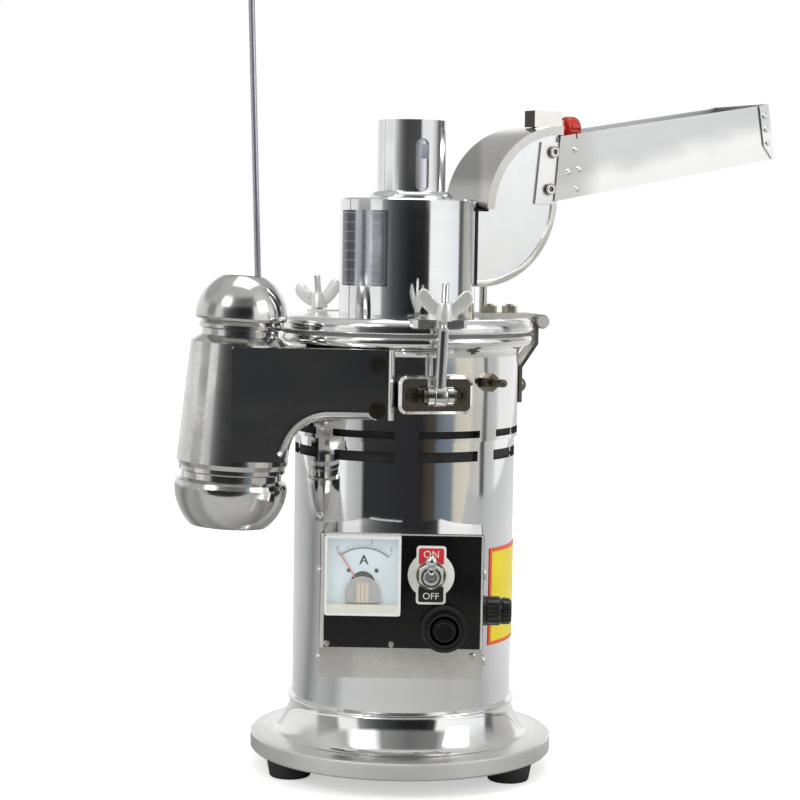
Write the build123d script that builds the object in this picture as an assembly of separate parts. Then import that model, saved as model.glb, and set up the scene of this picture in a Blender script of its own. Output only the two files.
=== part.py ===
from build123d import *
import math
import os

os.makedirs("parts", exist_ok=True)

# Table-top continuous-feed lab mill, in millimetres and degrees.
# The origin is on the rotor's axis at the bottom of the feet, +Z is up, and the control box faces -Y.
# Azimuths are counted from +X towards +Y.

# ---- Fits -------------------------------------------------------------------------------------
running_fit = 0.05  # radial play of a pin or shaft that turns
slide_fit = 0.3  # play of a piece that slides or moves past another
shell_wall = 2.5
casting_wall = 3.6

# ---- Feet and base ----------------------------------------------------------------------------
foot_height = 11.5
foot_top_radius = 14.5
foot_bottom_radius = 12.5
foot_circle = 78.0
foot_azimuths = (-30, 90, 210)
foot_screw_radius = 2.0
base_radius = 95.0
disc_thickness = 10.5
flare_radius = 80.0
neck_height = 35.5
bead_height = 2.2
bead_stand = 1.2

# ---- Motor shell and chamber ------------------------------------------------------------------
shell_radius = 69.0
base_ring_radius = shell_radius - 7.0
shell_length = 164.0
slot_count = 8
slot_bar_angle = 11.8
slot_turn = 1.4
slot_past = 2.0
shell_slot_height = 6.2
shell_slot_below_top = 12.0
skirt_slot_height = 4.4
skirt_slot_above_foot = 2.4
casting_radius = shell_radius + 1.6
casting_height = 63.0
screw_radius = 2.5
stud_azimuth = -45.0
stud_rise = 36.0
stud_length = 13.0
stud_depth = 4.0
skirt_height = 19.0
chamber_radius = casting_radius - 5.1
flange_radius = casting_radius + 8.4
flange_thickness = 6.0
flange_cove = 6.0
gasket_thickness = 2.0
gasket_radius = flange_radius - 1.0
lid_radius = flange_radius + 0.8
lid_thickness = 9.0
lid_edge_round = 5.5
feed_hole_radius = 34.0

# ---- Motor and rotor --------------------------------------------------------------------------
shaft_radius = 7.5
thread_radius = 5.0
bearing_radius = 17.5
bearing_height = 11.0
plate_thickness = 6.0
boss_radius = 22.0
boss_height = 14.0
lower_plate_lift = 6.0
stator_length = 66.0
stator_lift = 38.0
armature_radius = 38.0
air_gap = 0.8
armature_trim = 3.0
fan_radius = shell_radius - 11.0
fan_height = 12.0
fan_blades = 10
fan_lift = 14.0
beater_radius = chamber_radius - 15.5
beater_arms = 4
beater_lift = 5.0
beater_height = 28.0
hub_radius = 17.0
hub_height = 14.0
screen_radius = chamber_radius - 11.5
screen_wall = 1.2
screen_height = 34.0
screen_slot_height = 24.0
screen_slot_pairs = 16
screen_slot_width = 3.0
tooth_ring_outer = chamber_radius - 3.5
tooth_ring_inner = chamber_radius - 18.5
tooth_ring_height = 10.0
tooth_count = 20
tooth_depth = 4.0

# ---- Tower and chimney ------------------------------------------------------------------------
tower_radius = 42.5
tower_wall = 3.0
tower_height = 72.5
tower_mouth_width = 44.0
tower_mouth_bottom = 20.0
tower_mouth_height = 42.0
nameplate_from = -159.5
nameplate_to = -106.5
nameplate_bottom = 18.5
nameplate_height = 46.5
label_thickness = 0.5
label_glue = 0.05
chimney_radius = 21.3
chimney_wall = 1.6
chimney_height = 48.5
chimney_offset = 1.5
chimney_weld = 4.5
chimney_slot_azimuth = -71.0
chimney_slot_width = 8.6
chimney_slot_bottom = 4.5
chimney_slot_height = 32.5
sleeve_wall = 1.2

# ---- Feed chute, gate and tray (built along +X, then turned to the chute's azimuth) ------------
chute_azimuth = 30.0
chute_width = 50.0
chute_wall = 1.5
cheek_start = 34.0
cheek_bottom = 18.5
floor_arc_radius = 56.0
floor_arc_place = 38.0
hood_arc_radius = 54.5
hood_centre = (97.0, 65.5)
hood_end = 98.0
hood_sheet = 1.5
hood_stand = 0.5
hood_lip = 4.0
hood_lip_sheet = 1.0
post_radius = 2.5
tray_pitch = 10.4
tray_start = 94.5
tray_length = 173.5
tray_wall_lap = 3.7
tray_wall_height = 40.0
tray_end_height = 36.5
tray_end_tab = 6.5
tray_sheet = 1.2
tray_floor_lift = 73.5
tray_hem = 0.8
tray_hem_height = 3.0
strap_sheet = 1.5
strap_from = 77.0
strap_to = 112.0
strap_tilt = 4.0
strap_height = 39.0
strap_lift = 71.0
strap_screw_inset = 9.5
strap_screw_radius = 3.6
strap_screw_height = 2.4
strap_screw_rises = (9.5, 33.0)
gate_block_length = 20.7
gate_block_width = 12.0
gate_block_height = 10.5
gate_block_from = 88.8
gate_thickness = 1.5
gate_height = 33.0
gate_tongue_width = 11.0
gate_travel = 22.0
gate_play = 0.1
knob_radius = 9.0
knob_length = 13.0
knob_neck_radius = 4.8
knob_neck_length = 3.2
knob_round = 3.0
knob_grips = 8
knob_grip_radius = 2.0
knob_screw_radius = 2.0
knob_screw_reach = 9.0
knob_rise = -1.0
rivet_radius = 2.2
rivet_height = 1.2

# ---- Lid hinge --------------------------------------------------------------------------------
hinge_azimuth = 10.0
hinge_reach = flange_radius + 5.9
hinge_rise = 6.0
hinge_width = 22.0
knuckle_radius = 4.4
hinge_pin_radius = 2.2
hinge_head_radius = 3.8
leaf_sheet = 2.0
leaf_bottom = 20.0
leaf_screw_rise = 10.5
leaf_screw_length = 5.5
leaf_bend_bottom = 42.0
leaf_bend_top = 57.0
strap_start = 45.0
hinge_bolt_places = (52.4, 65.5)
hinge_nut_radius = 5.0
hinge_nut_height = 4.5
hinge_stud_past = 1.2
hinge_stud_radius = 2.5

# ---- Swing bolts ------------------------------------------------------------------------------
front_bolt_azimuth = -76.0
rear_bolt_azimuth = 128.8
bolt_lean = 8.6
pivot_reach = casting_radius + 15.4
pivot_rise = 29.5
pivot_pin_radius = 2.5
eye_radius = 6.2
eye_width = 7.6
shank_radius = 3.4
bolt_thread_radius = 2.3
thread_below_nut = 5.0
bolt_length = 68.0
bracket_width = 45.5
bracket_height = 23.0
bracket_front = casting_radius + 7.4
bracket_bevel = 1.8
bracket_screw_pitch = 28.0
bracket_screw_length = bracket_front - casting_radius + 5.1
ear_thickness = 3.6
lug_width = 33.0
lug_thickness = 5.0
lug_rise = 0.5
lug_root = lid_radius - 7.8
lug_slot_width = 8.4
lug_past_bolt = 0.5
nut_lift = 0.8
nut_radius = 5.6
nut_top_radius = 4.0
nut_height = 10.5
wing_thickness = 3.0

# ---- Outlet duct ------------------------------------------------------------------------------
duct_place = (-casting_radius - 32.1, -46.0)
duct_lean = 3.0
duct_wall = 3.5
duct_front_slope = 4.1
arm_end = -6.0
arm_top_rise = 56.0
arm_bottom_rise = 14.0
arm_back = -42.0
arm_passage_end = -24.0
bag_lip_radius = 34.5
bag_lip_neck = 30.5
bag_lip_centre_rise = -29.5
bag_mouth_radius = 24.0
bag_mouth_bore = 21.0
barrel_bottom_rise = -15.0
barrel_bottom_radius = 33.8
barrel_top_rise = 57.5
barrel_top_radius = 29.7
air_lip_radius = 27.8
air_lip_neck = 23.3
air_lip_centre_rise = 73.0
air_mouth_radius = 12.5
air_mouth_bore = 10.5
neck_bead = 1.8
duct_screw_rises = (20.0, 47.0)
duct_screw_inset = 10.0
duct_screw_length = 11.5
arm_edge_round = 5.0
rod_radius = 2.0
rod_lean = 1.94
rod_place = (duct_place[0] + 11.0, 4.0)
rod_bottom_rise = 29.0
rod_length = 350.0
rod_hook_radius = 12.0

# ---- Control box ------------------------------------------------------------------------------
box_left = -48.0
box_right = 48.5
box_bottom = 73.5
box_top = 160.0
box_front = -shell_radius - 25.0
box_sheet = 1.5
box_depth = 49.0
box_corner = 1.2
box_screw_back = 16.0
box_screw_heights = (box_bottom + 8.5, box_top - 25.5)
panel_thickness = 1.2
panel_bottom = 91.5
meter_width = 44.7
meter_height = 47.0
meter_depth = 10.0
meter_centre = (-22.6, 136.0)
meter_wall = 1.6
meter_barrel_radius = 18.0
meter_barrel_depth = 20.0
dial_depth = 5.5
dial_thickness = 0.6
needle_pivot = (-22.4, 127.0)
needle_length = 27.0
needle_zero = 122.0
needle_pin_radius = 0.8
switch_centre = (17.5, 135.7)
switch_plate_width = 18.8
switch_plate_height = 33.5
switch_plate_lobe = 14.2
switch_plate_thickness = 0.8
bushing_radius = 5.8
bushing_length = 9.0
lever_angle = 32.0
lever_length = 26.0
lever_depth = 3.2
lever_ball_radius = 4.0
breaker_centre = (25.8, 104.0)
breaker_radius = 14.0
breaker_collar_radius = 9.6
breaker_collar_length = 8.0
breaker_depth = 12.0
bezel_height = 3.0
bezel_wall = 2.0
bezel_floor = 1.2
button_radius = 6.0
button_length = 18.0
button_proud = 5.0
button_round = 1.5
gland_place = (box_front + 28.0, 110.0)
gland_radius = 9.0
gland_bore = 4.0
side_plate_from = -39.5
side_plate_to = 10.0
side_plate_bottom = 84.5
side_plate_height = 60.0

# ---- Heights that follow from the stack ---------------------------------------------------------
disc_bottom = foot_height
disc_top = disc_bottom + disc_thickness
shell_bottom = disc_bottom + neck_height
shell_top = shell_bottom + shell_length
casting_top = shell_top + casting_height
flange_bottom = casting_top - flange_thickness
floor_top = shell_top + skirt_height
floor_bottom = floor_top - plate_thickness
lid_bottom = casting_top + gasket_thickness
lid_top = lid_bottom + lid_thickness
tower_top = lid_top + tower_height
chimney_top = tower_top + chimney_height
hinge_height = lid_bottom + hinge_rise
pivot_height = shell_top + pivot_rise
arm_top = shell_top + arm_top_rise
arm_bottom = shell_top + arm_bottom_rise
bag_lip_centre = shell_top + bag_lip_centre_rise
barrel_bottom = shell_top + barrel_bottom_rise
barrel_top = shell_top + barrel_top_rise
air_lip_centre = shell_top + air_lip_centre_rise
rod_bottom = shell_top + rod_bottom_rise
duct_middle = shell_top + duct_screw_rises[0]
shell_bore = shell_radius - shell_wall
casting_bore = casting_radius - casting_wall


# ---- Shape helpers ------------------------------------------------------------------------------
def rod(radius, bottom, top, x=0.0, y=0.0):
    """Upright cylinder between two heights."""
    upright = (Align.CENTER, Align.CENTER, Align.MIN)
    return Pos(x, y, bottom) * Cylinder(radius, top - bottom, align=upright)


def ring(outer, inner, bottom, top, x=0.0, y=0.0):
    """Upright tube between two heights."""
    return rod(outer, bottom, top, x, y) - rod(inner, bottom - 1, top + 1, x, y)


def block(low, high):
    """Box between two corners."""
    size = [b - a for a, b in zip(low, high)]
    middle = [(a + b) / 2 for a, b in zip(low, high)]
    return Pos(*middle) * Box(*size)


def cone(bottom_radius, top_radius, bottom, top, x=0.0, y=0.0):
    """Upright cone between two heights."""
    upright = (Align.CENTER, Align.CENTER, Align.MIN)
    return Pos(x, y, bottom) * Cone(bottom_radius, top_radius, top - bottom, align=upright)


def turned(edges, angle=360.0):
    """Solid turned about Z from a closed outline of edges in the XZ plane."""
    return revolve(make_face(edges), Axis.Z, angle)


def outline(*points):
    """Closed outline through (x, z) points in the XZ plane."""
    return Polyline(*[(x, 0, z) for x, z in points], close=True)


def slab(points, y_from, y_to):
    """Plate with an (x, z) outline, from one y to another."""
    face = make_face(Polyline(*[(x, y_from, z) for x, z in points], close=True))
    return extrude(face, amount=y_to - y_from, dir=(0, 1, 0))


def hexagon(across_corners, bottom, top, x=0.0, y=0.0):
    """Upright hexagonal nut blank."""
    return Pos(x, y, bottom) * extrude(RegularPolygon(across_corners, 6), amount=top - bottom)


def at_azimuth(shape, azimuth):
    """Turn a piece that was built along +X to its azimuth."""
    return Rot(0, 0, azimuth) * shape


def along_x(shape):
    """Lay an upright piece down so that its +Z points along +X."""
    return Rot(0, 90, 0) * shape


def facing_front(shape):
    """Lay an upright piece down so that its +Z points along -Y."""
    return Rot(90, 0, 0) * shape


def band(radius, thickness, start, end, bottom, height):
    """Part of a thin tube between two azimuths."""
    face = make_face(
        outline(
            (radius, bottom),
            (radius + thickness, bottom),
            (radius + thickness, bottom + height),
            (radius, bottom + height),
        )
    )
    return at_azimuth(revolve(face, Axis.Z, end - start), start)


def slot_row(radius, bottom, height):
    """Eight curved ventilation cuts through a tube of that radius, between bars, one bar at the front."""
    pitch = 360.0 / slot_count
    first = -90.0 + slot_turn + slot_bar_angle / 2
    inner = radius - casting_wall - slot_past
    cuts = []
    for i in range(slot_count):
        start = first + i * pitch
        end = start + pitch - slot_bar_angle
        cuts.append(band(inner, radius + slot_past - inner, start, end, bottom, height))
    return cuts


def socket_head(head_radius, head_height):
    """Head of a cap screw on z = 0, with its hexagonal socket."""
    return rod(head_radius, 0, head_height) - hexagon(head_radius * 0.55, head_height * 0.4, head_height + 1)


def save(name, shape):
    """Write one sub-part."""
    export_step(shape if isinstance(shape, Compound) else Compound(shape.solids()), f"parts/{name}.step")


# ---- Base and feet --------------------------------------------------------------------------------
def base_casting():
    """Disc with a flared neck that the motor shell stands on."""
    neck = shell_radius + 0.8
    bead_top = shell_bottom - 1.5
    profile = [
        Line((base_ring_radius, 0, disc_bottom), (base_radius - 1, 0, disc_bottom)),
        Line((base_radius - 1, 0, disc_bottom), (base_radius, 0, disc_bottom + 1)),
        Line((base_radius, 0, disc_bottom + 1), (base_radius, 0, disc_top - 1)),
        Line((base_radius, 0, disc_top - 1), (base_radius - 1, 0, disc_top)),
        Line((base_radius - 1, 0, disc_top), (flare_radius, 0, disc_top + 1)),
        Spline(
            (flare_radius, 0, disc_top + 1),
            (neck + 5.0, 0, disc_top + 7.5),
            (neck, 0, bead_top - bead_height),
            tangents=((-1, 0, 0.5), (-0.1, 0, 1)),
        ),
        Line((neck, 0, bead_top - bead_height), (neck + bead_stand, 0, bead_top - bead_height)),
        ThreePointArc(
            (neck + bead_stand, 0, bead_top - bead_height),
            (neck + bead_stand + 0.5, 0, bead_top - bead_height / 2),
            (neck + bead_stand, 0, bead_top),
        ),
        Line((neck + bead_stand, 0, bead_top), (shell_radius, 0, shell_bottom)),
        Line((shell_radius, 0, shell_bottom), (base_ring_radius, 0, shell_bottom)),
        Line((base_ring_radius, 0, shell_bottom), (base_ring_radius, 0, disc_bottom)),
    ]
    body = turned(profile)
    for azimuth in foot_azimuths:
        body -= at_azimuth(rod(foot_screw_radius, disc_bottom - 1, disc_bottom + 5, foot_circle), azimuth)
    return body


def foot(azimuth):
    """Tapered rubber foot with a counterbore for its screw."""
    body = cone(foot_bottom_radius, foot_top_radius, 0, foot_height, foot_circle)
    body -= rod(foot_screw_radius * 2.2, -1, foot_height / 2, foot_circle)
    body -= rod(foot_screw_radius, 0, foot_height + 1, foot_circle)
    return at_azimuth(body, azimuth)


def foot_screw(azimuth):
    """Screw that holds one foot, its head up inside the counterbore."""
    screw = rod(foot_screw_radius, foot_height / 2, disc_bottom + 5, foot_circle)
    head = rod(foot_screw_radius * 1.9, foot_height / 2 - 2, foot_height / 2, foot_circle)
    return at_azimuth(screw + head, azimuth)


# ---- Motor ------------------------------------------------------------------------------------------
def motor_shell():
    """Polished tube with one row of slots near its top."""
    shell = ring(shell_radius, shell_bore, shell_bottom, shell_top)
    return shell - slot_row(shell_radius, shell_top - shell_slot_below_top, shell_slot_height)


def stator():
    """Laminated ring with slots round the armature."""
    bottom = shell_bottom + stator_lift
    body = ring(shell_bore, armature_radius + air_gap, bottom, bottom + stator_length)
    low = (armature_radius - 1, -2, bottom - 1)
    notch = block(low, (armature_radius + 12, 2, bottom + stator_length + 1))
    return body - [at_azimuth(notch, 30 * i) for i in range(12)]


def armature():
    """Laminated core pressed on the shaft."""
    bottom = shell_bottom + stator_lift + armature_trim
    return ring(armature_radius, shaft_radius, bottom, bottom + stator_length - 2 * armature_trim)


def bearing_seat(plate, seat_bottom, hole_bottom, hole_top):
    """Cut a bearing's seat and the shaft's hole through a plate."""
    plate -= rod(bearing_radius, seat_bottom, seat_bottom + bearing_height)
    return plate - rod(shaft_radius + 1.0, hole_bottom - 1, hole_top + 1)


lower_plate_bottom = shell_bottom + lower_plate_lift
lower_boss_bottom = lower_plate_bottom - 4
lower_bearing_bottom = lower_boss_bottom + 1.5
upper_boss_bottom = floor_top - boss_height - 2
upper_bearing_bottom = upper_boss_bottom


def lower_bearing_plate():
    """Spider plate in the shell's foot that carries the lower bearing."""
    body = rod(shell_bore, lower_plate_bottom, lower_plate_bottom + plate_thickness)
    body += rod(boss_radius, lower_boss_bottom, lower_boss_bottom + boss_height)
    body = bearing_seat(body, lower_bearing_bottom, lower_boss_bottom, lower_boss_bottom + boss_height)
    vent = rod(9.0, lower_plate_bottom - 1, lower_plate_bottom + plate_thickness + 1, 45.0)
    return body - [at_azimuth(vent, 60 * i) for i in range(6)]


def upper_bearing_plate():
    """Chamber floor with the upper bearing under it."""
    body = rod(casting_bore, floor_bottom, floor_top)
    body += rod(boss_radius, upper_boss_bottom, floor_top)
    return bearing_seat(body, upper_bearing_bottom, upper_boss_bottom, floor_top)


def bearing(bottom):
    """Ball bearing, its bore with running play on the shaft."""
    body = ring(bearing_radius, shaft_radius + running_fit, bottom, bottom + bearing_height)
    groove = ring(bearing_radius - 3, shaft_radius + 3, bottom - 1, bottom + 1)
    return body - groove - Pos(0, 0, bearing_height) * groove


beater_bottom = floor_top + beater_lift
shaft_top = beater_bottom + hub_height
nut_top = shaft_top + 5.0


def rotor_shaft():
    """Stepped shaft with a threaded end for the lock nut."""
    body = rod(shaft_radius, lower_boss_bottom + 0.5, shaft_top)
    return body + rod(thread_radius, shaft_top, nut_top + 3)


def cooling_fan():
    """Radial fan above the armature."""
    bottom = shell_bottom + stator_lift + stator_length + fan_lift
    body = ring(16.0, shaft_radius, bottom, bottom + fan_height)
    body += ring(fan_radius, 15.0, bottom, bottom + 1.5)
    blade = block((15.0, -0.8, bottom + 1), (fan_radius - 1, 0.8, bottom + fan_height))
    return body + [at_azimuth(blade, 360 / fan_blades * i) for i in range(fan_blades)]


def beater():
    """Hub with arms that carry upright beater blades."""
    body = rod(hub_radius, beater_bottom, beater_bottom + hub_height)
    arm = block((10, -5, beater_bottom + 2), (beater_radius - 4, 5, beater_bottom + 8))
    low = (beater_radius - 7, -6, beater_bottom - 1.5)
    blade = block(low, (beater_radius - 1, 6, beater_bottom + beater_height))
    for i in range(beater_arms):
        body += at_azimuth(arm + blade, 360 / beater_arms * i + 20)
    return body - rod(shaft_radius, beater_bottom - 2, beater_bottom + hub_height + 1)


def rotor_nut():
    """Lock nut on the shaft's thread."""
    return hexagon(10.0, shaft_top, nut_top) - rod(thread_radius, shaft_top - 1, nut_top + 1)


# ---- Grinding chamber ---------------------------------------------------------------------------------
def outlet_passage(x_to):
    """Space that the powder leaves through, from the chamber to the barrel."""
    return block((duct_place[0], -70.0, arm_bottom + 6), (x_to, arm_back - 5, arm_top - 6))


def casting_outside():
    """Outer shape of the chamber casting, with the flange for the lid."""
    body = rod(casting_radius, shell_top, casting_top)
    cove = [
        Line(
            (casting_radius - 1, 0, flange_bottom - flange_cove),
            (casting_radius, 0, flange_bottom - flange_cove),
        ),
        ThreePointArc(
            (casting_radius, 0, flange_bottom - flange_cove),
            (casting_radius + 2.0, 0, flange_bottom - 1.8),
            (flange_radius - 1.5, 0, flange_bottom),
        ),
        ThreePointArc(
            (flange_radius - 1.5, 0, flange_bottom),
            (flange_radius, 0, flange_bottom + 2.0),
            (flange_radius - 0.5, 0, casting_top),
        ),
        Line((flange_radius - 0.5, 0, casting_top), (casting_radius - 1, 0, casting_top)),
        Line((casting_radius - 1, 0, casting_top), (casting_radius - 1, 0, flange_bottom - flange_cove)),
    ]
    return body + turned(cove)


def chamber_casting():
    """Ring with a slotted skirt, the outlet window and a flange for the lid."""
    body = casting_outside() - shanks()
    body -= rod(casting_bore, shell_top - 1, floor_top)
    body -= rod(chamber_radius, floor_top, casting_top + 1)
    body -= slot_row(casting_radius, shell_top + skirt_slot_above_foot, skirt_slot_height)
    return body - outlet_passage(arm_passage_end)


def ring_screen():
    """Sieve ring round the beater, cut with upright slots."""
    body = ring(screen_radius + screen_wall, screen_radius, floor_top, floor_top + screen_height)
    middle = floor_top + screen_height / 2
    reach = screen_radius + 5
    bar = block(
        (-reach, -screen_slot_width / 2, middle - screen_slot_height / 2),
        (reach, screen_slot_width / 2, middle + screen_slot_height / 2),
    )
    return body - [at_azimuth(bar, 180 / screen_slot_pairs * i) for i in range(screen_slot_pairs)]


def toothed_ring():
    """Grinding ring with teeth, bolted under the lid."""
    bottom = lid_bottom - tooth_ring_height
    body = ring(tooth_ring_outer, tooth_ring_inner, bottom, lid_bottom)
    low = (tooth_ring_inner - 1, -2.5, bottom - 1)
    notch = block(low, (tooth_ring_inner + tooth_depth, 2.5, lid_bottom - 3))
    return body - [at_azimuth(notch, 360 / tooth_count * i) for i in range(tooth_count)]


# ---- Lid, tower and chimney -----------------------------------------------------------------------------
def bolt_frame(azimuth):
    """Places of a swing bolt's pieces: radial along +X, then turned to the azimuth."""
    return Rot(0, 0, azimuth)


def lid_disc():
    """Round lid with a rounded rim, a feed hole and flats for the lugs."""
    profile = [
        Line((feed_hole_radius, 0, lid_bottom), (lid_radius - 1.5, 0, lid_bottom)),
        ThreePointArc(
            (lid_radius - 1.5, 0, lid_bottom),
            (lid_radius - 0.4, 0, lid_bottom + 0.4),
            (lid_radius, 0, lid_bottom + 1.5),
        ),
        Line((lid_radius, 0, lid_bottom + 1.5), (lid_radius, 0, lid_top - lid_edge_round)),
        ThreePointArc(
            (lid_radius, 0, lid_top - lid_edge_round),
            (lid_radius - 0.3 * lid_edge_round, 0, lid_top - 0.3 * lid_edge_round),
            (lid_radius - lid_edge_round, 0, lid_top),
        ),
        Line((lid_radius - lid_edge_round, 0, lid_top), (feed_hole_radius, 0, lid_top)),
        Line((feed_hole_radius, 0, lid_top), (feed_hole_radius, 0, lid_bottom)),
    ]
    body = turned(profile)
    for azimuth in (front_bolt_azimuth, rear_bolt_azimuth):
        low = (lug_root, -lug_width / 2, lid_top + lug_rise - lug_thickness)
        flat = block(low, (lid_radius + 1, lug_width / 2, lid_top + 1))
        body -= bolt_frame(azimuth) * flat
    return body


def lug(azimuth):
    """Forked lug that a swing bolt drops into."""
    top = lid_top + lug_rise
    tip = pivot_reach + lug_past_bolt
    body = block((lug_root, -lug_width / 2, top - lug_thickness), (tip, lug_width / 2, top))
    body = chamfer(body.edges().filter_by(Axis.Z).group_by(Axis.X)[-1], 2.5)
    body -= block(
        (pivot_reach, -lug_slot_width / 2, top - lug_thickness - 1),
        (tip + 1, lug_slot_width / 2, top + 1),
    )
    body -= rod(lug_slot_width / 2, top - lug_thickness - 1, top + 1, pivot_reach)
    return bolt_frame(azimuth) * body


def gasket():
    """Flat seal between flange and lid."""
    return ring(gasket_radius, chamber_radius + 2, casting_top, lid_bottom)


def chute_mouth():
    """Opening from the chute into the tower."""
    half = tower_mouth_width / 2
    low = lid_top + tower_mouth_bottom
    mouth = block((15, -half, low), (tower_radius + 5, half, low + tower_mouth_height))
    return at_azimuth(mouth, chute_azimuth)


def tower():
    """Round tower on the lid, open below, with the chute's mouth in its side."""
    body = rod(tower_radius, lid_top, tower_top)
    body = chamfer(body.edges().group_by(Axis.Z)[-1], 1.0)
    body -= rod(tower_radius - tower_wall, lid_top - 1, tower_top - tower_wall)
    body -= rod(chimney_radius - chimney_wall, tower_top - tower_wall - 1, tower_top + 1, chimney_offset)
    return body - chute_mouth()


def chimney_tube():
    """Chimney with a welded foot and a long slot in its front."""
    wide = chimney_radius + chimney_weld
    foot = cone(wide, chimney_radius, tower_top, tower_top + chimney_weld, chimney_offset)
    body = rod(chimney_radius, tower_top, chimney_top, chimney_offset) + foot
    body -= rod(chimney_radius - chimney_wall, tower_top - 1, chimney_top + 1, chimney_offset)
    low = tower_top + chimney_slot_bottom + chimney_slot_width / 2
    high = low + chimney_slot_height - chimney_slot_width
    half = chimney_slot_width / 2
    cut = block((0, -half, low), (40, half, high))
    for height in (low, high):
        cut += Pos(0, 0, height) * along_x(rod(half, 0, 40))
    return body - Pos(chimney_offset, 0, 0) * at_azimuth(cut, chimney_slot_azimuth)


sleeve_radius = chimney_radius - chimney_wall - running_fit


def air_sleeve():
    """Inner sleeve that turns to open or close the chimney's slot."""
    bottom = tower_top + 0.2
    body = ring(sleeve_radius, sleeve_radius - sleeve_wall, bottom, chimney_top - 1.0, chimney_offset)
    half = chimney_slot_width / 2
    low = tower_top + chimney_slot_bottom + chimney_slot_height * 0.62
    cut = block((0, -half, low), (40, half, low + chimney_slot_height * 0.28))
    return body - Pos(chimney_offset, 0, 0) * at_azimuth(cut, chimney_slot_azimuth + 12)


def nameplate():
    """Blank plate wrapped on the tower."""
    return band(
        tower_radius + label_glue,
        label_thickness,
        nameplate_from,
        nameplate_to,
        lid_top + nameplate_bottom,
        nameplate_height,
    )


# ---- Feed chute -------------------------------------------------------------------------------------------
chute_half = chute_width / 2
cheek_low = lid_top + cheek_bottom
floor_centre = (floor_arc_place, cheek_low + floor_arc_radius)
hood_middle = (hood_centre[0], lid_top + hood_centre[1])
tray_rise = math.tan(math.radians(tray_pitch))


def arc_point(centre, radius, angle):
    """Point on a circle in the (x, z) plane."""
    a = math.radians(angle)
    return (centre[0] + radius * math.cos(a), centre[1] + radius * math.sin(a))


def sheet_arc(centre, inner, outer, start, end, half_width):
    """Curved sheet: part of a ring in the (x, z) plane, across the chute."""
    mid = (start + end) / 2
    points = [
        arc_point(centre, inner, start),
        arc_point(centre, inner, mid),
        arc_point(centre, inner, end),
        arc_point(centre, outer, end),
        arc_point(centre, outer, mid),
        arc_point(centre, outer, start),
    ]
    p = [(x, -half_width, z) for x, z in points]
    edges = [
        ThreePointArc(p[0], p[1], p[2]),
        Line(p[2], p[3]),
        ThreePointArc(p[3], p[4], p[5]),
        Line(p[5], p[0]),
    ]
    return extrude(make_face(edges), amount=2 * half_width, dir=(0, 1, 0))


def chute_side(y):
    """Outline of a cheek: the hood's arc above, the floor's arc below."""
    hood_inner = hood_arc_radius + hood_stand - hood_sheet
    right = floor_centre[0] + floor_arc_radius
    floor_mid = arc_point(floor_centre, floor_arc_radius, -45)
    hood_a = arc_point(hood_middle, hood_inner, 180)
    hood_m = arc_point(hood_middle, hood_inner, 135)
    hood_b = (right, hood_middle[1] + (hood_inner**2 - (right - hood_middle[0]) ** 2) ** 0.5)
    edges = [
        Line((cheek_start, y, cheek_low), (floor_centre[0], y, cheek_low)),
        ThreePointArc(
            (floor_centre[0], y, cheek_low),
            (floor_mid[0], y, floor_mid[1]),
            (right, y, floor_centre[1]),
        ),
        Line((right, y, floor_centre[1]), (right, y, hood_b[1])),
        ThreePointArc((hood_b[0], y, hood_b[1]), (hood_m[0], y, hood_m[1]), (hood_a[0], y, hood_a[1])),
        Line((hood_a[0], y, hood_a[1]), (cheek_start, y, hood_a[1])),
        Line((cheek_start, y, hood_a[1]), (cheek_start, y, cheek_low)),
    ]
    return make_face(edges)


def chute_inside(y):
    """Outline of the space between the cheeks, above the floor."""
    radius = floor_arc_radius - chute_wall
    low = cheek_low + chute_wall
    mid = arc_point(floor_centre, radius, -45)
    edge = floor_centre[0] + radius
    far = floor_centre[0] + floor_arc_radius + 5
    high = hood_middle[1] + hood_arc_radius + 20
    edges = [
        Line((cheek_start - 5, y, low), (floor_centre[0], y, low)),
        ThreePointArc((floor_centre[0], y, low), (mid[0], y, mid[1]), (edge, y, floor_centre[1])),
        Polyline(
            (edge, y, floor_centre[1]),
            (far, y, floor_centre[1]),
            (far, y, high),
            (cheek_start - 5, y, high),
            (cheek_start - 5, y, low),
        ),
    ]
    return make_face(edges)


def chute():
    """Two cheeks joined by a curved floor, welded to the tower."""
    inner_half = chute_half - chute_wall
    body = extrude(chute_side(-chute_half), amount=2 * chute_half, dir=(0, 1, 0))
    body -= extrude(chute_inside(-inner_half), amount=2 * inner_half, dir=(0, 1, 0))
    return at_azimuth(body - rod(tower_radius, lid_top, tower_top + 1), chute_azimuth)


def hood():
    """Curved sheet over the chute with a lip down each cheek."""
    outer = hood_arc_radius + hood_stand
    body = sheet_arc(hood_middle, outer - hood_sheet, outer, 178, 89, chute_half + hood_lip_sheet)
    lips = sheet_arc(hood_middle, outer - hood_lip - hood_sheet, outer, 178, 89, chute_half + hood_lip_sheet)
    gap = block((0, -chute_half, lid_top), (200, chute_half, lid_top + 300))
    body += lips - gap
    return at_azimuth(body - rod(tower_radius + slide_fit, lid_top, tower_top + 1), chute_azimuth)


def chute_post():
    """Short post that props the chute on the lid."""
    foot_x = 56.0
    top = cheek_low + floor_arc_radius - math.sqrt(floor_arc_radius**2 - (foot_x - floor_centre[0]) ** 2)
    body = rod(post_radius, lid_top, top + 4, foot_x)
    floor_side = Pos(floor_centre[0], 0, floor_centre[1]) * (Rot(90, 0, 0) * Cylinder(floor_arc_radius, 80))
    return at_azimuth(body - floor_side, chute_azimuth)


# ---- Gate -----------------------------------------------------------------------------------------------
hood_top = hood_middle[1] + hood_arc_radius + hood_stand
block_to = gate_block_from + gate_block_length
block_bottom = hood_top
gate_x = block_to + gate_play
knob_height = block_bottom + knob_rise
tray_floor_start = lid_top + tray_floor_lift


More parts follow.
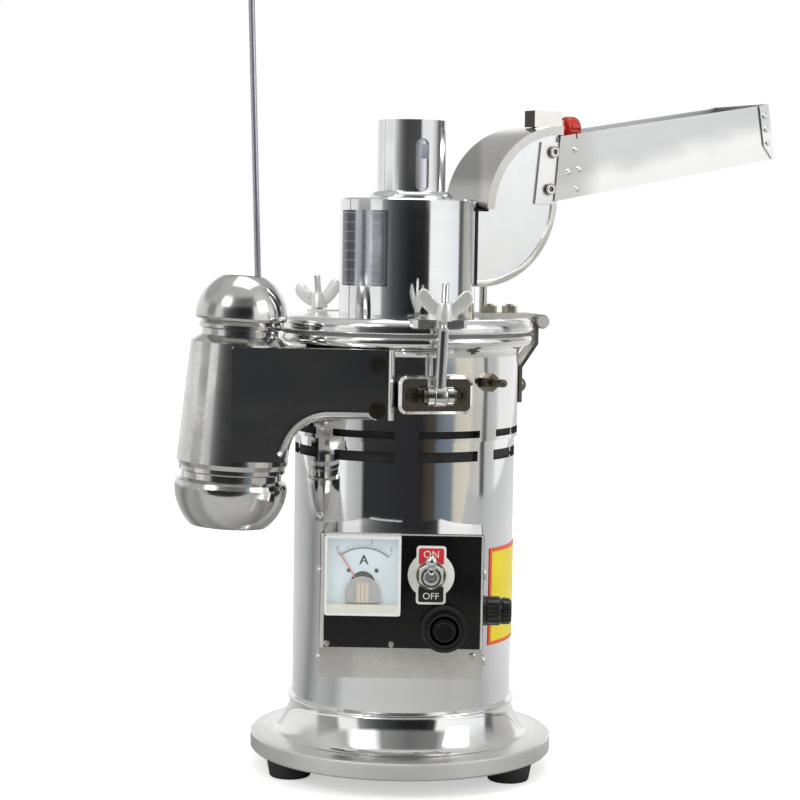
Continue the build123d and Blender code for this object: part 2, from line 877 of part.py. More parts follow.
def tray_floor_at(x):
    """Height of the tray's floor sheet's top at a distance along the chute."""
    return tray_floor_start + (x - tray_start) * tray_rise + tray_sheet


def gate_block():
    """Block on the hood's end that the gate is clamped against."""
    half = gate_block_width / 2
    body = block((gate_block_from, -half, block_bottom), (block_to, half, block_bottom + gate_block_height))
    web = block((hood_end - 3, -half, block_bottom - 5), (block_to, half, block_bottom))
    hood_radius = hood_top - hood_middle[1]
    hood_side = Pos(hood_middle[0], 0, hood_middle[1]) * (Rot(90, 0, 0) * Cylinder(hood_radius, 80))
    body = body + (web - hood_side)
    bore = along_x(rod(knob_screw_radius + running_fit, 0, knob_screw_reach + 2))
    bore = Pos(block_to - knob_screw_reach - 1, 0, knob_height) * bore
    return at_azimuth(body - bore, chute_azimuth)


def gate_plate():
    """Feed gate with a slotted tongue under the knob."""
    half = chute_half - chute_wall - 1.5
    low = tray_floor_at(gate_x) + 1.0
    high = low + gate_height
    body = block((gate_x, -half, low), (gate_x + gate_thickness, half, high))
    tongue = gate_tongue_width / 2
    top = knob_height + knob_screw_radius + 4
    body += block((gate_x, -tongue, high - 1), (gate_x + gate_thickness, tongue, top))
    slot = knob_screw_radius + slide_fit
    low = (gate_x - 1, -slot, knob_height - gate_travel)
    cut = block(low, (gate_x + gate_thickness + 1, slot, knob_height))
    for height in (knob_height - gate_travel, knob_height):
        cut += Pos(gate_x - 1, 0, height) * along_x(rod(slot, 0, gate_thickness + 2))
    return at_azimuth(body - cut, chute_azimuth)


def gate_knob():
    """Knob with its clamp screw."""
    start = gate_x + gate_thickness + gate_play
    knob = rod(knob_radius, knob_neck_length, knob_length)
    knob = fillet(knob.edges(), knob_round)
    grip = rod(knob_grip_radius, 0, knob_length + 1, knob_radius + knob_grip_radius / 2)
    knob -= [Rot(0, 0, 360 / knob_grips * i) * grip for i in range(knob_grips)]
    knob += rod(knob_neck_radius, 0, knob_neck_length + knob_round)
    knob += rod(knob_screw_radius, -(start - block_to + knob_screw_reach), 0)
    return at_azimuth(Pos(start, 0, knob_height) * along_x(knob), chute_azimuth)


# ---- Tray -----------------------------------------------------------------------------------------------
tray_inner = chute_half + strap_sheet
tray_outer = tray_inner + tray_sheet
tray_tilt = Pos(tray_start, 0, tray_floor_start) * Rot(0, -tray_pitch, 0)


def wall_height_at(x):
    """Height of the tray's wall above its floor's underside, along the tray."""
    return tray_wall_height + (tray_end_height - tray_wall_height) * x / tray_length


def tray():
    """Open channel that slopes down to the chute, with hemmed rims."""
    body = block((0, -tray_outer, 0), (tray_length, tray_outer, tray_sheet))
    top_start = tray_wall_height * math.tan(math.radians(tray_pitch))
    hem_from = top_start + 12
    hem_to = tray_length - tray_end_tab - 2
    for side in (-1, 1):
        wall = sorted((side * tray_inner, side * tray_outer))
        body += slab(
            [
                (-tray_wall_lap, 0),
                (tray_length, 0),
                (tray_length, wall_height_at(tray_length)),
                (top_start, wall_height_at(top_start)),
            ],
            wall[0],
            wall[1],
        )
        hem = sorted((side * tray_outer, side * (tray_outer + tray_hem)))
        body += slab(
            [
                (hem_from, wall_height_at(hem_from) - tray_hem_height),
                (hem_to, wall_height_at(hem_to) - tray_hem_height),
                (hem_to, wall_height_at(hem_to)),
                (hem_from, wall_height_at(hem_from)),
            ],
            hem[0],
            hem[1],
        )
    return at_azimuth(tray_tilt * body, chute_azimuth)


def tray_end():
    """End plate with tabs folded round the tray's walls."""
    x = tray_length
    top = wall_height_at(x) + 0.5
    reach = tray_outer + tray_sheet
    body = block((x, -reach, 0), (x + tray_sheet, reach, top))
    for side in (-1, 1):
        edge = sorted((side * tray_outer, side * reach))
        body += slab(
            [(x - tray_end_tab, 10), (x - 1, 0.5), (x, 0), (x, top), (x - tray_end_tab, top - 0.5)],
            edge[0],
            edge[1],
        )
    return at_azimuth(tray_tilt * body, chute_azimuth)


def rivet_line():
    """Rivets that hold the straps and the end plate to the tray's walls."""
    near_places = [(17.0, 30.0), (10.0, 17.0), (18.0, 17.5), (14.5, 5.5)]
    end_places = [(tray_length - tray_end_tab / 2, height) for height in (29.5, 20.5, 11.5)]
    rivets = []
    for side in (-1, 1):
        for x, z in near_places + end_places:
            stand = tray_sheet if x > tray_length / 2 else 0.0
            y = side * (tray_outer + stand)
            head = Rot(-90 * side, 0, 0) * cone(rivet_radius, rivet_radius * 0.55, 0, rivet_height)
            rivets.append(Pos(x, y, z) * head)
    return at_azimuth(tray_tilt * Compound(rivets), chute_azimuth)


def tray_straps():
    """Flat straps screwed to the cheeks and riveted inside the tray's walls."""
    body = []
    low = lid_top + strap_lift
    step = tray_start - 1.0
    for side in (-1, 1):
        edge = sorted((side * chute_half, side * tray_inner))
        plate = slab(
            [
                (strap_from, low),
                (step, low),
                (step, tray_floor_at(step) + 2),
                (strap_to, tray_floor_at(strap_to) + 2),
                (strap_to, low + strap_height),
                (strap_from + strap_tilt, low + strap_height),
            ],
            edge[0],
            edge[1],
        )
        for rise in strap_screw_rises:
            head = Rot(-90 * side, 0, 0) * socket_head(strap_screw_radius, strap_screw_height)
            along = strap_from + strap_screw_inset + strap_tilt * rise / strap_height
            plate += Pos(along, side * tray_inner, low + rise) * head
        body.append(plate)
    return at_azimuth(Compound(body), chute_azimuth)


# ---- Lid hinge ------------------------------------------------------------------------------------------
def across(shape, y_from, y_to):
    """Part of a hinge piece between two places across the hinge."""
    return shape & block((-200, y_from, -200), (200, y_to, 600))


def knuckle(y_from, y_to):
    """Barrel round the hinge pin."""
    body = Pos(hinge_reach, 0, hinge_height) * (Rot(-90, 0, 0) * rod(knuckle_radius, y_from, y_to))
    return body


def hinge_bore():
    """Hole for the hinge pin, with running play."""
    hole = rod(hinge_pin_radius + running_fit, -hinge_width, hinge_width)
    return Pos(hinge_reach, 0, hinge_height) * (Rot(-90, 0, 0) * hole)


hinge_third = hinge_width / 6


def hinge_strap():
    """Strap on the lid, its end rolled round the pin."""
    top = hinge_height + knuckle_radius
    low = lid_top
    start_x = strap_start
    end_x = hinge_reach - knuckle_radius - 1
    body = block((start_x, -hinge_width / 2, low), (end_x, hinge_width / 2, low + leaf_sheet))
    half = hinge_third - slide_fit / 2
    link = slab(
        [
            (hinge_reach - knuckle_radius - 6, low),
            (hinge_reach, top - leaf_sheet),
            (hinge_reach, top),
            (hinge_reach - knuckle_radius - 6, low + leaf_sheet),
        ],
        -half,
        half,
    )
    body += link + knuckle(-half, half)
    body -= hinge_bore()
    for x in hinge_bolt_places:
        body -= rod(hinge_stud_radius, low - 1, low + leaf_sheet + 1, x, -2)
    return at_azimuth(body - rod(tower_radius, lid_top - 1, tower_top), hinge_azimuth)


def hinge_nuts():
    """Studs with nuts that hold the strap on the lid."""
    low = lid_top + leaf_sheet
    pieces = []
    for x in hinge_bolt_places:
        stud = rod(hinge_stud_radius, lid_top, low + hinge_nut_height + hinge_stud_past, x, -2)
        pieces.append(stud + hexagon(hinge_nut_radius, low, low + hinge_nut_height, x, -2))
    return at_azimuth(Compound(pieces), hinge_azimuth)


def hinge_leaf():
    """Bent leaf from the casting's side to the pin."""
    low = shell_top + leaf_bottom
    bend_low = shell_top + leaf_bend_bottom
    bend_high = shell_top + leaf_bend_top
    inner = casting_radius
    outer = hinge_reach - knuckle_radius
    path = [
        (inner, low),
        (inner + leaf_sheet, low),
        (inner + leaf_sheet, bend_low),
        (outer + leaf_sheet, bend_high),
        (outer + leaf_sheet, hinge_height),
        (outer, hinge_height),
        (outer, bend_high + 1),
        (inner, bend_low + 1),
    ]
    body = slab(path, -hinge_width / 2, hinge_width / 2)
    gap = hinge_third + slide_fit / 2
    clear = hinge_height - knuckle_radius - 1.5
    body -= block((outer - 3, -gap, clear), (outer + 5, gap, hinge_height + 10))
    body += knuckle(-hinge_width / 2, -gap) + knuckle(gap, hinge_width / 2)
    body -= rod(casting_radius, 0, flange_bottom - flange_cove)
    return at_azimuth(body - hinge_bore(), hinge_azimuth) - shanks()


def hinge_pin():
    """Pin with a head at its near end."""
    pin = rod(hinge_pin_radius, -hinge_width / 2 - 1, hinge_width / 2 + 2)
    head = rod(hinge_head_radius, -hinge_width / 2 - 3, -hinge_width / 2)
    collar = rod(hinge_head_radius, hinge_width / 2, hinge_width / 2 + 1.5)
    body = Pos(hinge_reach, 0, hinge_height) * (Rot(-90, 0, 0) * (pin + head + collar))
    return at_azimuth(body, hinge_azimuth)


# ---- Swing bolts ----------------------------------------------------------------------------------------
def crosswise(shape, x, z):
    """Lay an upright piece across the bolt's swing plane at a radius and height."""
    return Pos(x, 0, z) * (Rot(-90, 0, 0) * shape)


ear_gap = eye_width / 2 + slide_fit
ear_out = ear_gap + ear_thickness


def bolt_bracket(azimuth):
    """Pad on the casting with two ears for the pivot pin."""
    half = bracket_width / 2
    low = pivot_height - bracket_height / 2
    pad = block((bracket_front - 12, -half, low), (bracket_front, half, low + bracket_height))
    pad = fillet(pad.edges().filter_by(Axis.X), 5.0)
    pad = chamfer(pad.faces().sort_by(Axis.X)[-1].edges(), bracket_bevel)
    ears = []
    for side in (-1, 1):
        y = sorted((side * ear_gap, side * ear_out))
        ear = block((bracket_front - 4, y[0], pivot_height - 5.5), (pivot_reach, y[1], pivot_height + 5.5))
        ear += Pos(pivot_reach, 0, pivot_height) * (Rot(-90, 0, 0) * rod(5.5, y[0], y[1]))
        ears.append(ear)
    body = pad + ears
    body -= crosswise(rod(pivot_pin_radius, -30, 30), pivot_reach, pivot_height)
    return bolt_frame(azimuth) * (body - rod(casting_radius, 0, casting_top)) - shanks()


def pivot_pin(azimuth):
    """Pin with a head and a riveted end."""
    pin = rod(pivot_pin_radius, -ear_out - 1, ear_out + 1)
    head_radius = pivot_pin_radius * 1.6
    heads = rod(head_radius, -ear_out - 2.5, -ear_out) + rod(head_radius, ear_out, ear_out + 2)
    return bolt_frame(azimuth) * crosswise(pin + heads, pivot_reach, pivot_height)


def leaned(shape):
    """Lean an upright bolt outward about its pivot."""
    return Pos(pivot_reach, 0, pivot_height) * (Rot(0, bolt_lean, 0) * shape)


nut_seat = lid_top + lug_rise + nut_lift - pivot_height


def swing_bolt(azimuth):
    """Eye bolt, slackened and leaning out of its lug."""
    eye = Rot(-90, 0, 0) * rod(eye_radius, -eye_width / 2, eye_width / 2)
    body = eye + rod(shank_radius, 0, nut_seat - thread_below_nut) + rod(bolt_thread_radius, 0, bolt_length)
    body -= Rot(-90, 0, 0) * rod(pivot_pin_radius + running_fit, -20, 20)
    return bolt_frame(azimuth) * leaned(body)


def wing_nut(azimuth, turn):
    """Wing nut on the bolt's thread."""
    body = cone(nut_radius, nut_top_radius, nut_seat, nut_seat + nut_height)
    wing = [
        (3.4, 1.5),
        (7.5, 3.6),
        (13.6, 9.4),
        (15.6, 13.2),
        (14.6, 16.6),
        (11.4, 17.6),
        (7.4, 13.4),
        (3.4, 9.4),
    ]
    half = wing_thickness / 2
    for side in (-1, 1):
        plate = slab([(side * x, nut_seat + z) for x, z in wing], -half, half)
        body += plate
    body -= rod(bolt_thread_radius + running_fit, nut_seat - 1, nut_seat + nut_height + 10)
    return bolt_frame(azimuth) * leaned(Rot(0, 0, turn) * body)


# ---- Outlet duct ------------------------------------------------------------------------------------------
duct_axis = Pos(duct_place[0], duct_place[1], duct_middle) * Rot(0, duct_lean, 0)


def lip_outline(wall):
    """Turned outline of the barrel with its two bag lips about its own axis; a wall makes it the cavity."""
    low_centre = bag_lip_centre - duct_middle
    top_centre = air_lip_centre - duct_middle
    low_end = low_centre - math.sqrt(bag_lip_radius**2 - bag_mouth_radius**2) + wall
    top_end = top_centre + math.sqrt(air_lip_radius**2 - air_mouth_radius**2) - wall
    bag = bag_lip_radius - wall
    air = air_lip_radius - wall
    low_mouth = math.sqrt(bag**2 - (low_centre - low_end) ** 2)
    top_mouth = math.sqrt(air**2 - (top_end - top_centre) ** 2)
    low_half = (low_centre - low_end) / 2
    top_half = (top_end - top_centre) / 2
    barrel_low = barrel_bottom - duct_middle
    barrel_high = barrel_top - duct_middle
    bead = 0.0 if wall else neck_bead
    bag_neck = bag_lip_neck - wall
    air_neck = air_lip_neck - wall
    return [
        Line((0, 0, low_end), (low_mouth, 0, low_end)),
        ThreePointArc(
            (low_mouth, 0, low_end),
            (math.sqrt(bag**2 - low_half**2), 0, low_centre - low_half),
            (bag, 0, low_centre),
        ),
        Polyline(
            (bag, 0, low_centre),
            (bag - 1, 0, low_centre + 2.5),
            (bag_neck, 0, low_centre + 4.5),
            (bag_neck, 0, low_centre + 8.0),
            (bag_neck + bead, 0, low_centre + 9.0),
            (bag_neck + bead, 0, low_centre + 11.5),
            (barrel_bottom_radius - wall, 0, barrel_low),
            (barrel_top_radius - wall, 0, barrel_high),
            (barrel_top_radius - wall - 3.5, 0, barrel_high + 2.5),
            (air_neck, 0, barrel_high + 4.5),
            (air_neck, 0, barrel_high + 8.0),
            (air_neck + bead, 0, barrel_high + 9.0),
            (air_neck + bead, 0, barrel_high + 11.0),
            (air_neck + 0.5, 0, top_centre - 2.2),
            (air - 0.8, 0, top_centre - 1.6),
            (air, 0, top_centre),
        ),
        ThreePointArc(
            (air, 0, top_centre),
            (math.sqrt(air**2 - top_half**2), 0, top_centre + top_half),
            (top_mouth, 0, top_end),
        ),
        Line((top_mouth, 0, top_end), (0, 0, top_end)),
        Line((0, 0, top_end), (0, 0, low_end)),
    ]


def arm():
    """Rectangular arm with a flared underside, its front sloping like the barrel's."""
    left = duct_place[0]
    front = duct_place[1] - barrel_bottom_radius - 4
    p = [
        (arm_end, arm_bottom),
        (-44.0, arm_bottom),
        (-64.0, arm_bottom - 9.0),
        (duct_place[0] + 32.2, barrel_bottom + 3),
        (left, barrel_bottom + 3),
        (left, arm_top),
        (arm_end, arm_top),
    ]
    q = [(x, front, z) for x, z in p]
    edges = [
        Line(q[0], q[1]),
        ThreePointArc(q[1], q[2], q[3]),
        Line(q[3], q[4]),
        Line(q[4], q[5]),
        Line(q[5], q[6]),
        Line(q[6], q[0]),
    ]
    body = extrude(make_face(edges), amount=arm_back - front, dir=(0, 1, 0))
    slope = math.tan(math.radians(duct_front_slope))
    face_y = duct_place[1] - barrel_top_radius
    low_z = barrel_bottom - 5
    shave = Polyline(
        (-200, face_y - 30, low_z),
        (-200, face_y - (barrel_top - low_z) * slope, low_z),
        (-200, face_y + 10 * slope, barrel_top + 10),
        (-200, face_y - 30, barrel_top + 10),
        close=True,
    )
    body -= extrude(make_face(shave), amount=260, dir=(1, 0, 0))
    corner = body.edges().group_by(Axis.X)[-1].sort_by(Axis.Y)[0]
    return fillet(corner, arm_edge_round)


def outlet_duct():
    """Hollow casting: arm, barrel, powder-bag lip below and air-bag lip above."""
    body = duct_axis * turned(lip_outline(0.0)) + arm()
    high = (rod_place[0] + 7, rod_place[1] + 7, rod_bottom + 22)
    boss = block((rod_place[0] - 7, rod_place[1] - 24, rod_bottom), high)
    body += boss
    body -= duct_axis * turned(lip_outline(duct_wall))
    body -= outlet_passage(arm_passage_end)
    body -= duct_axis * rod(bag_mouth_bore, -100, bag_lip_centre - duct_middle)
    body -= duct_axis * rod(air_mouth_bore, air_lip_centre - duct_middle, 100)
    body -= shanks()
    body -= bag_rod_solid(running_fit)
    return body - rod(casting_radius, shell_bottom, shell_top) - casting_outside()


def arm_face_at(height):
    """Place in y of the arm's sloping front at a height."""
    lean = math.tan(math.radians(duct_front_slope))
    return duct_place[1] - barrel_top_radius - (barrel_top - height) * lean


def bag_rod_solid(play=0.0):
    """Upright part of the bag rod, leaning a little to the left."""
    lean = Pos(rod_place[0], rod_place[1], rod_bottom) * Rot(0, -rod_lean, 0)
    return lean * rod(rod_radius + play, 0, rod_length)


def arm():
    """Rectangular arm with a flared underside, its front sloping like the barrel's."""
    left = duct_place[0]
    front = duct_place[1] - barrel_bottom_radius - 4
    p = [
        (arm_end, arm_bottom),
        (-44.0, arm_bottom),
        (-64.0, arm_bottom - 9.0),
        (duct_place[0] + 32.2, barrel_bottom + 3),
        (left, barrel_bottom + 3),
        (left, arm_top),
        (arm_end, arm_top),
    ]
    q = [(x, front, z) for x, z in p]
    edges = [
        Line(q[0], q[1]),
        ThreePointArc(q[1], q[2], q[3]),
        Line(q[3], q[4]),
        Line(q[4], q[5]),
        Line(q[5], q[6]),
        Line(q[6], q[0]),
    ]
    body = extrude(make_face(edges), amount=arm_back - front, dir=(0, 1, 0))
    slope = math.tan(math.radians(duct_front_slope))
    face_y = duct_place[1] - barrel_top_radius
    low_z = barrel_bottom - 5
    shave = Polyline(
        (-200, face_y - 30, low_z),
        (-200, face_y - (barrel_top - low_z) * slope, low_z),
        (-200, face_y + 10 * slope, barrel_top + 10),
        (-200, face_y - 30, barrel_top + 10),
        close=True,
    )
    body -= extrude(make_face(shave), amount=260, dir=(1, 0, 0))
    corner = body.edges().group_by(Axis.X)[-1].sort_by(Axis.Y)[0]
    return fillet(corner, arm_edge_round)


def outlet_duct():
    """Hollow casting: arm, barrel, powder-bag lip below and air-bag lip above."""
    body = duct_axis * turned(lip_outline(0.0)) + arm()
    high = (rod_place[0] + 7, rod_place[1] + 7, rod_bottom + 22)
    boss = block((rod_place[0] - 7, rod_place[1] - 24, rod_bottom), high)
    body += boss
    body -= duct_axis * turned(lip_outline(duct_wall))
    body -= outlet_passage(arm_passage_end)
    body -= duct_axis * rod(bag_mouth_bore, -100, bag_lip_centre - duct_middle)
    body -= duct_axis * rod(air_mouth_bore, air_lip_centre - duct_middle, 100)
    body -= shanks()
    body -= bag_rod_solid(running_fit)
    return body - rod(casting_radius, shell_bottom, shell_top) - casting_outside()


def arm_face_at(height):
    """Place in y of the arm's sloping front at a height."""
    lean = math.tan(math.radians(duct_front_slope))
    return duct_place[1] - barrel_top_radius - (barrel_top - height) * lean


def bag_rod_solid(play=0.0):
    """Upright part of the bag rod, leaning a little to the left."""
    lean = Pos(rod_place[0], rod_place[1], rod_bottom) * Rot(0, -rod_lean, 0)
    return lean * rod(rod_radius + play, 0, rod_length)


def bag_rod():
    """Rod with a hook at its top for the air bag."""
    lean = Pos(rod_place[0], rod_place[1], rod_bottom) * Rot(0, -rod_lean, 0)
    length = rod_length
    hook_path = ThreePointArc(
        (0, 0, length),
        (-rod_hook_radius, 0, length + rod_hook_radius),
        (-2 * rod_hook_radius, 0, length),
    )
    section = Plane(origin=(0, 0, length), z_dir=(0, 0, 1)) * Circle(rod_radius)
    hook = sweep(section, path=hook_path)
    return bag_rod_solid() + lean * hook


# ---- Control box ------------------------------------------------------------------------------------------
panel_face = box_front - panel_thickness


def control_box():
    """Folded sheet box that fits against the motor shell."""
    back = box_front + box_depth
    body = block((box_left, box_front, box_bottom), (box_right, back, box_top))
    body = fillet(body.edges().filter_by(Axis.Y), box_corner)
    inner = block(
        (box_left + box_sheet, box_front + box_sheet, box_bottom + box_sheet),
        (box_right - box_sheet, back + 1, box_top - box_sheet),
    )
    body = body - inner - rod(shell_radius, shell_bottom, shell_top)
    body -= panel_hole(meter_centre, meter_barrel_radius + slide_fit)
    body -= panel_hole(switch_centre, bushing_radius + slide_fit)
    body -= panel_hole(breaker_centre, breaker_collar_radius + slide_fit)
    return body - Pos(box_right - 5, gland_place[0], gland_place[1]) * along_x(rod(gland_radius * 0.75, 0, 10))


def panel_hole(centre, radius):
    """Round hole through the box's front and its panel."""
    return Pos(centre[0], box_front + 5, centre[1]) * facing_front(rod(radius, 0, 12))


def control_panel():
    """Black plate on the box's front."""
    low = (box_left + 1.2, panel_face, panel_bottom)
    body = block(low, (box_right - 1.2, box_front, box_top - 1.0))
    body -= panel_hole(meter_centre, meter_barrel_radius + slide_fit)
    body -= panel_hole(switch_centre, bushing_radius + slide_fit)
    return body - panel_hole(breaker_centre, breaker_collar_radius + slide_fit)


def box_screws():
    """Pan-head screws in the box's sides and its panel."""
    screws = []
    head = cone(3.2, 2.0, 0, 2.0)
    for height in box_screw_heights:
        screws.append(Pos(box_right, box_front + box_screw_back, height) * along_x(head))
        screws.append(Pos(box_left, box_front + box_screw_back, height) * (Rot(0, -90, 0) * head))
    small = cone(2.0, 1.4, 0, 1.0)
    for x in (box_left + 4.5, -5.5):
        screws.append(Pos(x, panel_face, panel_bottom + 2.5) * facing_front(small))
    screws.append(Pos(box_right - 6, box_front, panel_bottom - 4) * facing_front(small))
    return Compound(screws)


def meter_case():
    """Square meter case, open in front, with its barrel behind the panel."""
    half_w = meter_width / 2
    half_h = meter_height / 2
    x, z = meter_centre
    face = panel_face - meter_depth
    body = block((x - half_w, face, z - half_h), (x + half_w, panel_face, z + half_h))
    body = fillet(body.edges().filter_by(Axis.Y), 1.5)
    body -= block(
        (x - half_w + meter_wall, face - 1, z - half_h + meter_wall),
        (x + half_w - meter_wall, panel_face - 2.0, z + half_h - meter_wall),
    )
    barrel = Pos(x, panel_face, z) * (Rot(-90, 0, 0) * rod(meter_barrel_radius, 0, meter_barrel_depth))
    return body + barrel


dial_front = panel_face - meter_depth + dial_depth - dial_thickness


def meter_dial():
    """Dial plate with the needle's pivot pin."""
    half_w = meter_width / 2 - meter_wall
    half_h = meter_height / 2 - meter_wall
    x, z = meter_centre
    behind = dial_front + dial_thickness
    plate = block((x - half_w, dial_front, z - half_h), (x + half_w, behind, z + half_h))
    back = block((x - half_w, behind, z - half_h), (x + half_w, panel_face - 2.0, z - half_h + 10))
    pin = Pos(needle_pivot[0], dial_front, needle_pivot[1]) * facing_front(rod(needle_pin_radius, 0, 2.6))
    return plate + back + pin


def meter_cover():
    """Clear front with a deeper foot that hides the movement."""
    half_w = meter_width / 2 - meter_wall
    half_h = meter_height / 2 - meter_wall
    x, z = meter_centre
    face = panel_face - meter_depth
    pane = block((x - half_w, face, z - half_h), (x + half_w, face + 1.2, z + half_h))
    foot = block((x - half_w, face + 1.2, z - half_h), (x + half_w, dial_front, z - half_h + 5.5))
    return pane + foot


def meter_needle():
    """Needle on its hub, resting at the scale's zero."""
    x, z = needle_pivot
    hub = rod(2.2, 0.4, 1.6) - rod(needle_pin_radius + running_fit, 0, 3)
    blade = Rot(0, 0, needle_zero) * block((1.5, -0.35, 0.7), (needle_length, 0.35, 1.2))
    body = (hub + blade) - rod(needle_pin_radius + running_fit, 0, 3)
    return Pos(x, dial_front, z) * facing_front(body)


plate_face = panel_face - switch_plate_thickness
lever_pivot = plate_face - bushing_length + lever_depth


def toggle_switch():
    """Switch body behind the panel with its threaded bushing."""
    x, z = switch_centre
    back = box_front + box_sheet
    body = block((x - 8, back, z - 14), (x + 8, back + 18, z + 14))
    bushing = Pos(x, back, z) * facing_front(rod(bushing_radius, 0, back - plate_face + bushing_length))
    mouth = Pos(x, lever_pivot, z) * facing_front(cone(lever_ball_radius + running_fit, 5.2, 0, 5))
    socket = Pos(x, lever_pivot, z) * Sphere(lever_ball_radius + running_fit)
    return body + bushing - mouth - socket


def toggle_plate():
    """Indicator plate with round lobes under the nut."""
    x, z = switch_centre
    plate = RectangleRounded(switch_plate_width, switch_plate_height, 2.0) + Circle(switch_plate_lobe)
    plate -= Circle(bushing_radius)
    return Pos(x, panel_face, z) * facing_front(extrude(plate, amount=switch_plate_thickness))


def toggle_nut():
    """Hexagonal dress nut on the bushing."""
    x, z = switch_centre
    washer = rod(8.6, 0, 0.8)
    body = washer + Rot(0, 0, 30) * hexagon(8.4, 0.8, 3.6) + rod(7.0, 3.6, 4.2)
    return Pos(x, plate_face, z) * facing_front(body - rod(bushing_radius, -1, 6))


def toggle_lever():
    """Bat lever, up at rest."""
    x, z = switch_centre
    ball = Sphere(lever_ball_radius)
    bat = cone(1.9, 3.3, 0, lever_length - 3.3) + Pos(0, 0, lever_length - 3.3) * Sphere(3.3)
    body = ball + bat
    return Pos(x, lever_pivot, z) * (Rot(90 - lever_angle, 0, 0) * body)


def breaker_body():
    """Overload protector: bezel, recessed face and collar round the button."""
    x, z = breaker_centre
    body = rod(breaker_collar_radius, -breaker_depth, 0) + rod(breaker_radius, 0, bezel_height)
    body -= ring(breaker_radius - bezel_wall, breaker_collar_radius, bezel_floor, bezel_height + 1)
    body += rod(breaker_collar_radius, 0, breaker_collar_length)
    body -= rod(button_radius + 2 * running_fit, 2 - breaker_depth, breaker_collar_length + 1)
    return Pos(x, panel_face, z) * facing_front(body)


def breaker_button():
    """Reset button."""
    x, z = breaker_centre
    top = breaker_collar_length + button_proud
    body = rod(button_radius, top - button_length, top)
    body = fillet(body.edges().group_by(Axis.Z)[-1], button_round)
    return Pos(x, panel_face, z) * facing_front(body)


def cable_gland():
    """Cable gland through the box's side with its lock nut inside."""
    y, z = gland_place
    body = rod(gland_radius * 0.75, -8, 0)
    body += rod(gland_radius, 0, 2.5)
    body += hexagon(gland_radius, 2.5, 11.0)
    body += cone(gland_radius * 0.92, gland_radius * 0.6, 11.0, 18.0)
    body += hexagon(gland_radius * 1.1, -box_sheet - 4, -box_sheet)
    body -= rod(gland_bore, -9, 19)
    return Pos(box_right, y, z) * along_x(body)


def side_plate():
    """Blank plate wrapped on the shell's side."""
    return band(
        shell_radius + label_glue,
        label_thickness,
        side_plate_from,
        side_plate_to,
        side_plate_bottom,
        side_plate_height,
    )


# ---- Screws in the chamber casting --------------------------------------------------------------------------
def screw_seats():
    """Place, shank radius and depth of each screw that enters the casting, its +Z pointing outward."""
    seats = []
    for rise in duct_screw_rises:
        height = shell_top + rise
        place = Pos(arm_end - duct_screw_inset, arm_face_at(height), height) * Rot(90 - duct_front_slope, 0, 0)
        seats.append((place, screw_radius, duct_screw_length))
    for azimuth in (front_bolt_azimuth, rear_bolt_azimuth):
        for side in (-1, 1):
            place = Pos(bracket_front, side * bracket_screw_pitch / 2, pivot_height) * Rot(0, 90, 0)
            seats.append((bolt_frame(azimuth) * place, screw_radius, bracket_screw_length))
    leaf_place = Pos(casting_radius + leaf_sheet, 0, shell_top + leaf_bottom + leaf_screw_rise) * Rot(0, 90, 0)
    seats.append((Rot(0, 0, hinge_azimuth) * leaf_place, screw_radius, leaf_screw_length))
    stud_place = Pos(casting_radius, 0, shell_top + stud_rise) * Rot(0, 90, 0)
    seats.append((Rot(0, 0, stud_azimuth) * stud_place, screw_radius, stud_depth))
    return seats


def shanks():
    """The screws' shanks, which are also the holes for them."""
    return [place * rod(radius, -depth, 0) for place, radius, depth in screw_seats()]


def casting_screws():
    """Cap screws of the duct and the brackets, the leaf's round-head screw and the side stud."""
    round_head = Sphere(5.0) & block((-6, -6, 0), (6, 6, 6))
    stud = rod(screw_radius, 0, stud_length) + Pos(0, 0, stud_length) * Sphere(screw_radius)
    wall = Pos(0, 0, -casting_radius) * Rot(0, 90, 0) * Cylinder(casting_radius, 40)
    nut = hexagon(5.6, -1.0, 4.5) - wall
    heads = [socket_head(5.2, 2.5)] * 2 + [socket_head(4.4, 2.2)] * 4 + [round_head, stud + nut]
    screws = []
    for head, (place, radius, depth) in zip(heads, screw_seats()):
        screws.append(place * head + place * rod(radius, -depth, 0))
    return screws


def machine_screws():
    """Screws of the feet and of the chamber casting."""
    screws = [foot_screw(azimuth) for azimuth in foot_azimuths] + casting_screws()
    return Compound([solid for screw in screws for solid in screw.solids()])


# ---- Write the sub-parts -----------------------------------------------------------------------------------
save("base_casting", base_casting())
save("rubber_feet", Compound([foot(azimuth) for azimuth in foot_azimuths]))
save("machine_screws", machine_screws())
save("motor_shell", motor_shell())
save("stator", stator())
save("lower_bearing_plate", lower_bearing_plate())
save("upper_bearing_plate", upper_bearing_plate())
save("bearings", Compound([bearing(lower_bearing_bottom), bearing(upper_bearing_bottom)]))
save("chamber_casting", chamber_casting())
save("ring_screen", ring_screen())
save("outlet_duct", outlet_duct())
save("bag_rod", bag_rod())
save("control_box", control_box())
save("control_panel", control_panel())
save("box_screws", box_screws())
save("meter_case", meter_case())
save("meter_dial", meter_dial())
save("meter_cover", meter_cover())
save("toggle_switch", toggle_switch())
save("toggle_nut", toggle_nut())
save("toggle_plate", toggle_plate())
save("breaker_body", breaker_body())
save("cable_gland", cable_gland())
save("side_plate", side_plate())
save("bolt_brackets", Compound([bolt_bracket(front_bolt_azimuth), bolt_bracket(rear_bolt_azimuth)]))
save("pivot_pins", Compound([pivot_pin(front_bolt_azimuth), pivot_pin(rear_bolt_azimuth)]))
save("hinge_leaf", hinge_leaf())
save("hinge_pin", hinge_pin())

save("rotor_shaft", rotor_shaft())
save("armature", armature())
save("cooling_fan", cooling_fan())
save("beater", beater())
save("rotor_nut", rotor_nut())

